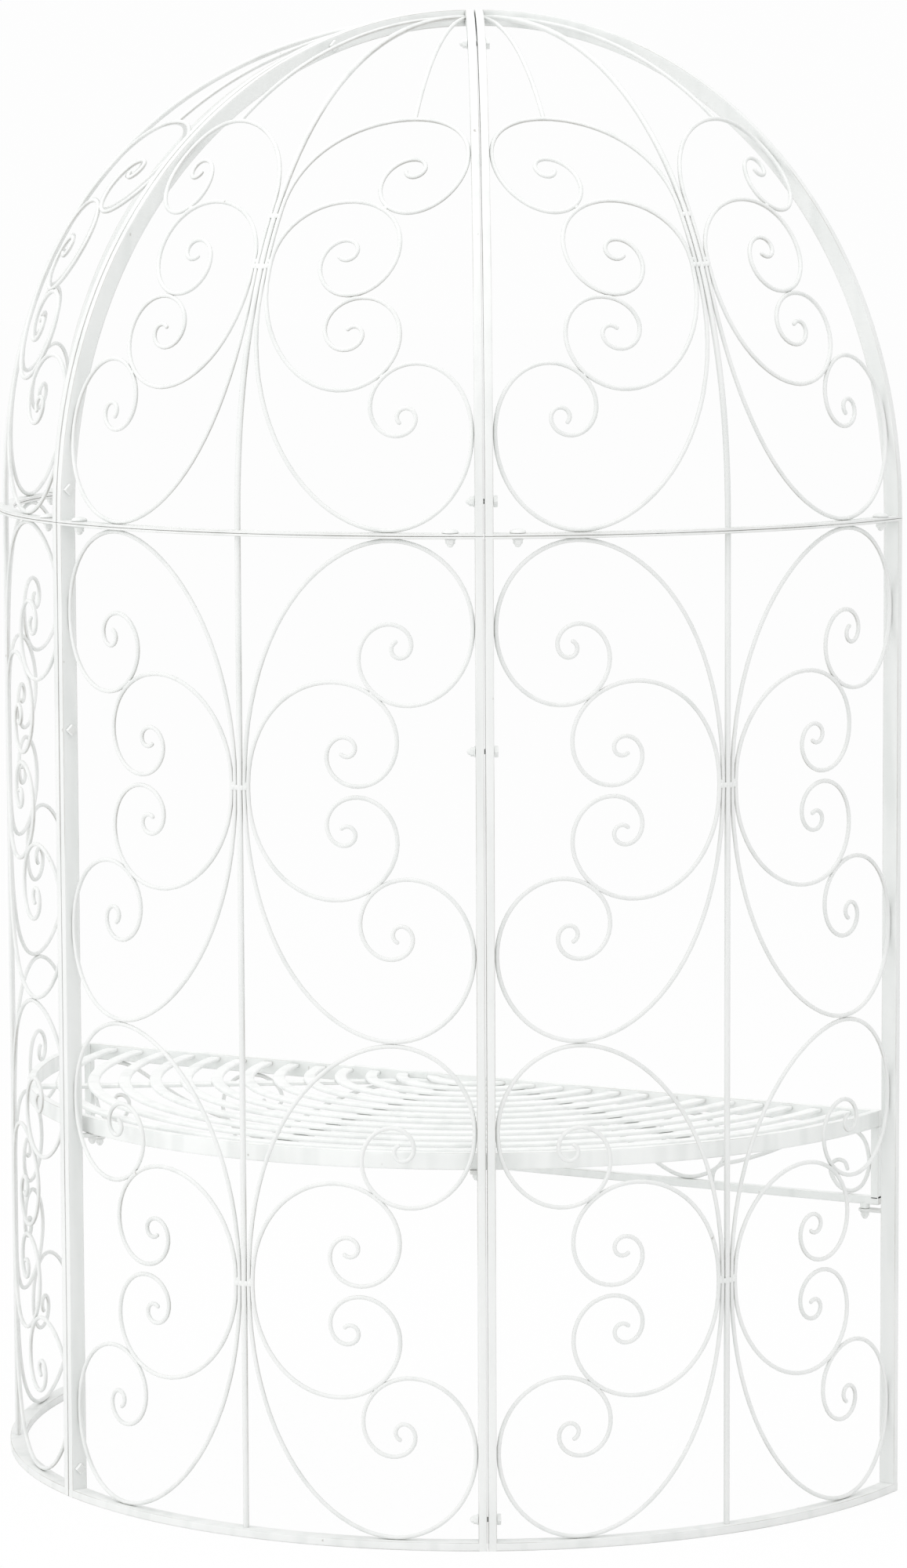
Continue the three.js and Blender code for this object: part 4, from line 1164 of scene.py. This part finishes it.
def straight_bar(work, start, end, side, outward, section):
    return sweep_bar(work, [(start, side, outward), (end, side, outward)], section)


def bench_bearer(turn, edge):
    """A flat bar below the slats: the middle one from the front rail, the others from beside it."""
    work = bmesh.new()
    section = rounded_section(BEARER_WIDTH, BEARER_THICKNESS, min(edge, BEARER_THICKNESS / 3))
    height = SLAT_TOP - SLAT_THICKNESS - FIT_GAP - BEARER_THICKNESS / 2
    near = BENCH_BACK if turn == 0 else BEARER_HUB
    far = RIM_RADIUS - BENCH_BAR_WIDTH - FIT_GAP
    spin = Matrix.Rotation(turn * PANEL_ANGLE, 3, "Z")
    start, end = (spin @ Vector((0, y, height)) for y in (near, far))
    cut_at_rail(work, straight_bar(work, start, end, spin @ ACROSS, UP, section))
    return to_mesh(work, AT_AXIS)


def apron_frame(edge):
    """Lower bar and two end bars, with a boss under each end for its bolt."""
    work = bmesh.new()
    section = rounded_section(APRON_BAR, APRON_BAR, edge)
    y, height = BENCH_FRONT + APRON_BAR / 2, APRON_BOTTOM + APRON_BAR / 2
    straight_bar(work, Vector((-BENCH_END, y, height)), Vector((BENCH_END, y, height)), OUT, UP, section)
    for side in (-1, 1):
        x = side * (BENCH_END - APRON_BAR / 2)
        foot, head = Vector((x, y, APRON_TOP - OVERLAP)), Vector((x, y, BENCH_BOTTOM - FIT_GAP))
        straight_bar(work, foot, head, ACROSS, OUT, section)
        boss = [
            (0, -BOSS_HEIGHT), (BOSS_RADIUS - BOSS_ROUNDING, -BOSS_HEIGHT),
            (BOSS_RADIUS, BOSS_ROUNDING - BOSS_HEIGHT), (BOSS_RADIUS, OVERLAP), (0, OVERLAP),
        ]
        place = Matrix.Translation((side * FRONT_BOLT_X, BENCH_MIDDLE, APRON_BOTTOM))
        add_turned(work, boss, place, BOSS_SIDES)
    return to_mesh(work, AT_AXIS)


def smooth_chain(corners, count):
    """A smooth line through corners, with evenly shared points."""
    points = []
    last = len(corners) - 1
    for index in range(last):
        before, here = corners[max(index - 1, 0)], corners[index]
        there, after = corners[index + 1], corners[min(index + 2, last)]
        for step in range(count):
            part = step / count
            points.append(0.5 * (
                2 * here + (there - before) * part + (2 * before - 5 * here + 4 * there - after) * part**2
                + (3 * here - before - 3 * there + after) * part**3
            ))
    return points + [corners[last]]


def apron_scrolls(side):
    """The two wires of one end of the apron, with beads where they touch its bars."""
    radius = bpy.context.scene.arbour_sizes.wire / 2
    width, low, high = END_BAR_FACE - WIRE_REACH, APRON_TOP + WIRE_REACH, BENCH_BOTTOM - WIRE_REACH
    wires, beads = [], []
    for shares in (OUTER_APRON, INNER_APRON):
        corners = [Vector((side * x * width, BENCH_MIDDLE, low + z * (high - low))) for x, z in shares]
        points = smooth_chain(corners, APRON_STEPS)
        wires.append((points, radius))
        for key in (lambda point: point.z, lambda point: -point.z, lambda point: abs(point.x)):
            beads.append((max(points, key=key), ACROSS, -OUT, EDGE_BEAD))
    return wire_mesh(wires, beads, AT_AXIS)


# Bolts


def add_turned(work, profile, place, sides, corners=None):
    """Turns a profile of radius and height about an axis; corners gives a many-sided form."""
    layer = edge_layer(work)
    rings = []
    for radius, height in profile:
        if radius == 0:
            rings.append([work.verts.new(place @ Vector((0, 0, height)))])
            continue
        ring = []
        for step in range(sides):
            angle = 2 * math.pi * step / sides
            reach = radius
            if corners:
                sector = math.pi / corners
                reach = radius * math.cos(sector) / math.cos((angle % (2 * sector)) - sector)
            point = Vector((reach * math.cos(angle), reach * math.sin(angle), height))
            ring.append(work.verts.new(place @ point))
        rings.append(ring)
    for vertex in (vertex for ring in rings for vertex in ring):
        vertex[layer] = TURNED_WEAR
    for first, second in zip(rings, rings[1:]):
        count = max(len(first), len(second))
        for step in range(count):
            following = (step + 1) % count
            corner = [first[step % len(first)], first[following % len(first)]]
            corner += [second[following % len(second)], second[step % len(second)]]
            unique = list(dict.fromkeys(corner))
            if len(unique) > 2:
                work.faces.new(unique)


def in_metres(profile):
    return [(radius * MM, height * MM) for radius, height in profile]


def domed(foot, cap, steps):
    """Profile of a foot with a round cap on it, from the cap's rim to its top."""
    radius, rim, top = cap
    profile = list(foot)
    for step in range(steps):
        angle = math.pi / 2 * step / steps
        profile.append((radius * math.cos(angle), rim + (top - rim) * math.sin(angle)))
    return in_metres([*profile, (0, top)])


def add_flanged_nut(work, seat):
    """A six-sided nut that hangs below its seat on a flange, with a domed cap."""
    place = Matrix.Translation((0, 0, seat)) @ Matrix.Diagonal((1, 1, -1, 1))
    add_turned(work, in_metres(NUT_FLANGE), place, NUT_SIDES)
    add_turned(work, in_metres(NUT_BODY), place, NUT_SIDES, corners=6)
    add_turned(work, domed(NUT_NECK, NUT_CAP, CAP_STEPS), place, CAP_SIDES)


def bolt_mesh(kind):
    """One bolt, drawn upright with the middle of its joint at zero."""
    work = bmesh.new()
    grip = {"ring": ROOF_RAIL_TOP - RING_RAIL_BOTTOM, "seam": 2 * STILE_FACE, "bench": 0}[kind]
    seat = grip / 2 + FIT_GAP
    add_flanged_nut(work, -seat)
    top = BENCH_BOLT_REACH if kind == "bench" else seat
    shank = [(0, -seat), (BOLT_RADIUS, -seat), (BOLT_RADIUS, top), (0, top)]
    add_turned(work, shank, Matrix(), SHANK_SIDES)
    place = Matrix.Translation((0, 0, seat))
    if kind == "ring":
        add_turned(work, domed(RING_HEAD_FOOT, RING_HEAD_CAP, HEAD_STEPS), place, HEAD_SIDES)
    if kind == "seam":
        add_turned(work, in_metres(SEAM_HEAD), place, HEAD_SIDES, corners=4)
    return to_mesh(work)


def bolt_tree():
    """Sets a bolt on every point, turned as the point says."""
    inputs = {"Bolt": ("Object", None), "Scale": ("Float", 1.0), "Finish": ("Material", None)}
    kit = TreeKit("set_bolts", inputs)
    bolt = kit.node("GeometryNodeObjectInfo", {}, {"Object": kit.given("Bolt")}, output="Geometry")
    points = kit.node("GeometryNodeMeshToPoints", {}, {"Mesh": kit.given("Geometry")})
    turned = kit.turned("upright", "facing")
    inputs = {"Points": points, "Instance": bolt, "Rotation": turned, "Scale": kit.given("Scale")}
    return kit.end_with(kit.node("GeometryNodeInstanceOnPoints", {}, inputs))


def set_bolts(name, kind, spots, nodes):
    """spots: point, axis towards the head, and facing."""
    mesh = bpy.data.meshes.new("work")
    mesh.from_pydata([AXIS + spot[0] for spot in spots], [], [])
    for position, direction in ((1, "upright"), (2, "facing")):
        attribute = mesh.attributes.new(direction, "FLOAT_VECTOR", "POINT")
        attribute.data.foreach_set("vector", [value for spot in spots for value in spot[position]])
    pattern = bpy.data.objects.new("pattern", bolt_mesh(kind))
    bpy.context.scene.collection.objects.link(pattern)
    values = {"Bolt": pattern, "Scale": 1.0, "Finish": finish_of("bolt_paint")}
    result = apply_tree(mesh, tree_of("bolts", bolt_tree), values)
    bpy.data.objects.remove(pattern)
    for direction in ("upright", "facing"):
        if direction in result.attributes:
            result.attributes.remove(result.attributes[direction])
    keep_piece(name, result, "bolt_paint", nodes)


# Stage


def set_camera(scene):
    """Stands where the photograph was taken from, with a slight roll."""
    flat = math.cos(CAMERA_TILT)
    forward = Vector((
        -math.cos(CAMERA_AZIMUTH) * flat, -math.sin(CAMERA_AZIMUTH) * flat, -math.sin(CAMERA_TILT)
    ))
    right = forward.cross(UP).normalized()
    up = right.cross(forward)
    cosine, sine = math.cos(CAMERA_ROLL), math.sin(CAMERA_ROLL)
    right, up = right * cosine + up * sine, up * cosine - right * sine
    camera = bpy.data.objects.new("camera", bpy.data.cameras.new("camera"))
    turn = Matrix((right, up, -forward)).transposed().to_4x4()
    camera.matrix_world = Matrix.Translation(CAMERA_PLACE) @ turn
    camera.data.lens = CAMERA_LENS
    camera.data.sensor_fit = "AUTO"
    camera.data.clip_end = CAMERA_REACH
    scene.collection.objects.link(camera)
    scene.camera = camera


def lay_floor(scene):
    """A pale floor that looks white to the camera but keeps some of the arbour's shadow."""
    work = bmesh.new()
    bmesh.ops.create_grid(work, x_segments=1, y_segments=1, size=FLOOR_SIZE)
    floor = bpy.data.objects.new("floor", to_mesh(work))
    scene.collection.objects.link(floor)
    material = bpy.data.materials.new("pale_floor")
    material.use_nodes = True
    kit = Kit(material.node_tree)
    surface, end = (material.node_tree.nodes[name] for name in ("Principled BSDF", "Material Output"))
    surface.inputs["Base Color"].default_value = (*scene.arbour_colours.floor, 1)
    surface.inputs["Roughness"].default_value = FLOOR_ROUGHNESS
    seen = FLOOR_GLOW * kit.node("ShaderNodeLightPath", output="Is Camera Ray")
    glow = kit.node("ShaderNodeEmission", {}, {"Color": (1, 1, 1, 1), "Strength": 1.0})
    blend = kit.node("ShaderNodeMixShader", {}, {0: seen, 1: Signal(kit, surface.outputs[0]), 2: glow})
    material.node_tree.links.new(blend.socket, end.inputs["Surface"])
    floor.data.materials.append(material)
    floor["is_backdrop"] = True


def light_sky(scene):
    """Even light from all sides, behind which the camera and glossy iron see a white backdrop."""
    world = bpy.data.worlds.new("studio")
    world.use_nodes = True
    scene.world = world
    kit = Kit(world.node_tree)
    rays = kit.node("ShaderNodeLightPath")
    seen = kit.output_of(rays, "Is Camera Ray").most(kit.output_of(rays, "Is Glossy Ray"))
    seen = seen.most(kit.output_of(rays, "Is Transmission Ray"))
    background = world.node_tree.nodes["Background"]
    background.inputs["Color"].default_value = (1, 1, 1, 1)
    world.node_tree.links.new((SKY_LIGHT + BACKDROP_LIGHT * seen).socket, background.inputs["Strength"])


def hang_lamps(scene):
    """Large soft lamps that all look at the middle of the arbour."""
    for name, (place, size, power) in LAMPS.items():
        light = bpy.data.objects.new(name, bpy.data.lights.new(name, "AREA"))
        light.data.size = size
        light.data.energy = power
        aim = LAMP_AIM - Vector(place)
        light.matrix_world = Matrix.Translation(place) @ aim.to_track_quat("-Z", "Y").to_matrix().to_4x4()
        scene.collection.objects.link(light)


# Operators


class ARBOUR_OT_walls(bpy.types.Operator):
    """Make the three wall panels: frames, centre rods and scrollwork"""

    bl_idname = "arbour.walls"
    bl_label = "Wall panels"

    def execute(self, context):
        edge = context.scene.arbour_sizes.edge
        rod = [wall_point((0, height))[0] for height in ROD_STOPS]
        waists = {"lower": BASE_RAIL_HEIGHT + WALL_HALF_MOTIF, "upper": RING_RAIL_BOTTOM - WALL_HALF_MOTIF}
        for name, turn in PANELS.items():
            keep_piece(f"{name}_wall_frame", wall_frame(turn, edge), "frame_paint", [f"wall_{name}_frame"])
            mesh = rod_mesh(rod, panel_place(turn))
            keep_piece(f"{name}_wall_rod", mesh, "wire_paint", [f"wall_{name}_centre_rod"])
            for part, waist in waists.items():
                paths = wall_scroll_paths(waist)
                beads = scroll_beads(paths, wall_point, [(waist, (BIG_OFFSET, SMALL_OFFSET))])
                mesh = scroll_mesh(paths, wall_point, beads, [], turn)
                nodes = [f"wall_{name}_{part}_scrollwork"]
                keep_piece(f"{name}_wall_{part}_scrolls", mesh, "wire_paint", nodes)
        return {"FINISHED"}


class ARBOUR_OT_roof(bpy.types.Operator):
    """Make the three roof panels: frames, centre rods and scrollwork"""

    bl_idname = "arbour.roof"
    bl_label = "Roof panels"

    def execute(self, context):
        edge = context.scene.arbour_sizes.edge
        paths, top = roof_scroll_paths()
        side_rods = [side_rod(side, top) for side in (-1, 1)]
        waists = [(LOW_WELD * CLIMB, (BIG_OFFSET, SMALL_OFFSET)), (HIGH_WELD * CLIMB, (BIG_OFFSET,))]
        beads = scroll_beads(paths, roof_point, waists)
        end = radius_angle(0, (STILE_FACE + ROD_GAP) / math.sin(HALF_PANEL))
        rod = up_the_dome(0, climb_angle(RING_RAIL_THICKNESS), end, ROD_STEPS)
        for name, turn in PANELS.items():
            keep_piece(f"{name}_roof_frame", roof_frame(turn, edge), "frame_paint", [f"roof_{name}_frame"])
            mesh = rod_mesh(rod, panel_place(turn))
            keep_piece(f"{name}_roof_rod", mesh, "wire_paint", [f"roof_{name}_centre_rod"])
            mesh = scroll_mesh(paths, roof_point, beads, side_rods, turn)
            keep_piece(f"{name}_roof_scrolls", mesh, "wire_paint", [f"roof_{name}_scrollwork"])
        return {"FINISHED"}


class ARBOUR_OT_bench(bpy.types.Operator):
    """Make the bench: front rail, rim, slats and bearers"""

    bl_idname = "arbour.bench"
    bl_label = "Bench"

    def execute(self, context):
        sizes = context.scene.arbour_sizes
        keep_piece("bench_front", bench_front(sizes.edge), "bench_paint", ["bench_front_rail"])
        keep_piece("bench_round_rim", bench_rim(sizes.edge), "bench_paint", ["bench_rim"])
        for index in range(SLAT_COUNT):
            mesh = slat_mesh(index, sizes.slat_edge)
            keep_piece(f"slat_{index + 1}", mesh, "bench_paint", [f"bench_slat_{index + 1}"])
        for name, turn in PANELS.items():
            mesh = bench_bearer(turn, sizes.edge)
            keep_piece(f"{name}_bearer", mesh, "bench_paint", [f"bench_bearer_{name}"])
        return {"FINISHED"}


class ARBOUR_OT_apron(bpy.types.Operator):
    """Make the apron below the front of the bench"""

    bl_idname = "arbour.apron"
    bl_label = "Apron"

    def execute(self, context):
        mesh = apron_frame(context.scene.arbour_sizes.edge)
        keep_piece("apron_bars", mesh, "bench_paint", ["apron_frame"])
        for name, side in (("right", 1), ("left", -1)):
            mesh = apron_scrolls(side)
            keep_piece(f"{name}_apron_scrolls", mesh, "wire_paint", [f"apron_{name}_scrollwork"])
        return {"FINISHED"}


class ARBOUR_OT_bolts(bpy.types.Operator):
    """Set the bolts of the ring, the seams and the bench"""

    bl_idname = "arbour.bolts"
    bl_label = "Bolts"

    def execute(self, context):
        self.set_ring_bolts()
        self.set_seam_bolts()
        self.set_bench_bolts()
        return {"FINISHED"}

    def set_ring_bolts(self):
        spots, nodes = [], []
        height = (RING_RAIL_BOTTOM + ROOF_RAIL_TOP) / 2
        for name, turn in PANELS.items():
            spin = Matrix.Rotation(turn * PANEL_ANGLE, 3, "Z")
            for index, side in enumerate((-1, 1)):
                point = spin @ at_seam(side, side * RING_BOLT_INSET, INFILL_RADIUS, height)
                spots.append((point, UP, spin @ seam_axes(side)[0]))
                nodes.append(f"ring_bolt_{name}_{index + 1}")
        set_bolts("ring_bolts", "ring", spots, nodes)

    def set_seam_bolts(self):
        low_height = WALL_HEIGHT + ROOF_LOW_BOLT_RISE
        low_radius = INFILL_RADIUS * other_share((low_height - ROOF_BASE) / INFILL_RISE, RIB_POWER)
        rise = INFILL_RISE * other_share(ROOF_HIGH_BOLT_RADIUS / INFILL_RADIUS, RIB_POWER)
        places = [(INFILL_RADIUS, height) for height in SEAM_BOLT_HEIGHTS]
        places += [(low_radius, low_height), (ROOF_HIGH_BOLT_RADIUS, ROOF_BASE + rise)]
        for name, side in (("right", -1), ("left", 1)):
            across = seam_axes(side)[0]
            spots = [(at_seam(side, 0, radius, height), -across, UP) for radius, height in places]
            nodes = [f"seam_bolt_{name}_{index + 1}" for index in range(len(places))]
            set_bolts(f"{name}_seam_bolts", "seam", spots, nodes)

    def set_bench_bolts(self):
        spots, nodes = [], []
        for name, side in (("right", -1), ("left", 1)):
            rear = at_seam(side, side * REAR_LUG_INSET, RIM_MIDDLE, REAR_LUG_TOP - LUG_THICKNESS)
            front = Vector((-side * FRONT_BOLT_X, BENCH_MIDDLE, FRONT_LUG_TOP - LUG_THICKNESS))
            spots += [(rear, UP, ACROSS), (front, UP, ACROSS)]
            nodes += [f"bench_bolt_rear_{name}", f"bench_bolt_front_{name}"]
        set_bolts("bench_bolts", "bench", spots, nodes)


class ARBOUR_OT_stage(bpy.types.Operator):
    """Set the camera, the pale floor and the soft studio light"""

    bl_idname = "arbour.stage"
    bl_label = "Stage"

    def execute(self, context):
        for prepare in (set_camera, lay_floor, light_sky, hang_lamps):
            prepare(context.scene)
        context.scene.view_settings.view_transform = "Standard"
        return {"FINISHED"}


class ARBOUR_PT_panel(bpy.types.Panel):
    """Lists what the arbour is made of"""

    bl_idname = "ARBOUR_PT_panel"
    bl_label = "Arbour seat"
    bl_space_type = "VIEW_3D"
    bl_region_type = "UI"
    bl_category = "Arbour"

    def draw(self, context):
        for settings in (context.scene.arbour_sizes, context.scene.arbour_colours):
            for name in settings.__annotations__:
                self.layout.prop(settings, name)
        for operator in OPERATORS:
            self.layout.operator(operator.bl_idname)


OPERATORS = (
    ARBOUR_OT_stage, ARBOUR_OT_walls, ARBOUR_OT_roof, ARBOUR_OT_bench, ARBOUR_OT_apron, ARBOUR_OT_bolts,
)
CLASSES = (ArbourSizes, ArbourColours, *OPERATORS, ARBOUR_PT_panel)


def register():
    for item in CLASSES:
        bpy.utils.register_class(item)
    bpy.types.Scene.arbour_sizes = bpy.props.PointerProperty(type=ArbourSizes)
    bpy.types.Scene.arbour_colours = bpy.props.PointerProperty(type=ArbourColours)


def unregister():
    del bpy.types.Scene.arbour_colours
    del bpy.types.Scene.arbour_sizes
    for item in reversed(CLASSES):
        bpy.utils.unregister_class(item)


def main():
    register()
    for operator in OPERATORS:
        group, name = operator.bl_idname.split(".")
        getattr(getattr(bpy.ops, group), name)()


if __name__ == "__main__":
    main()
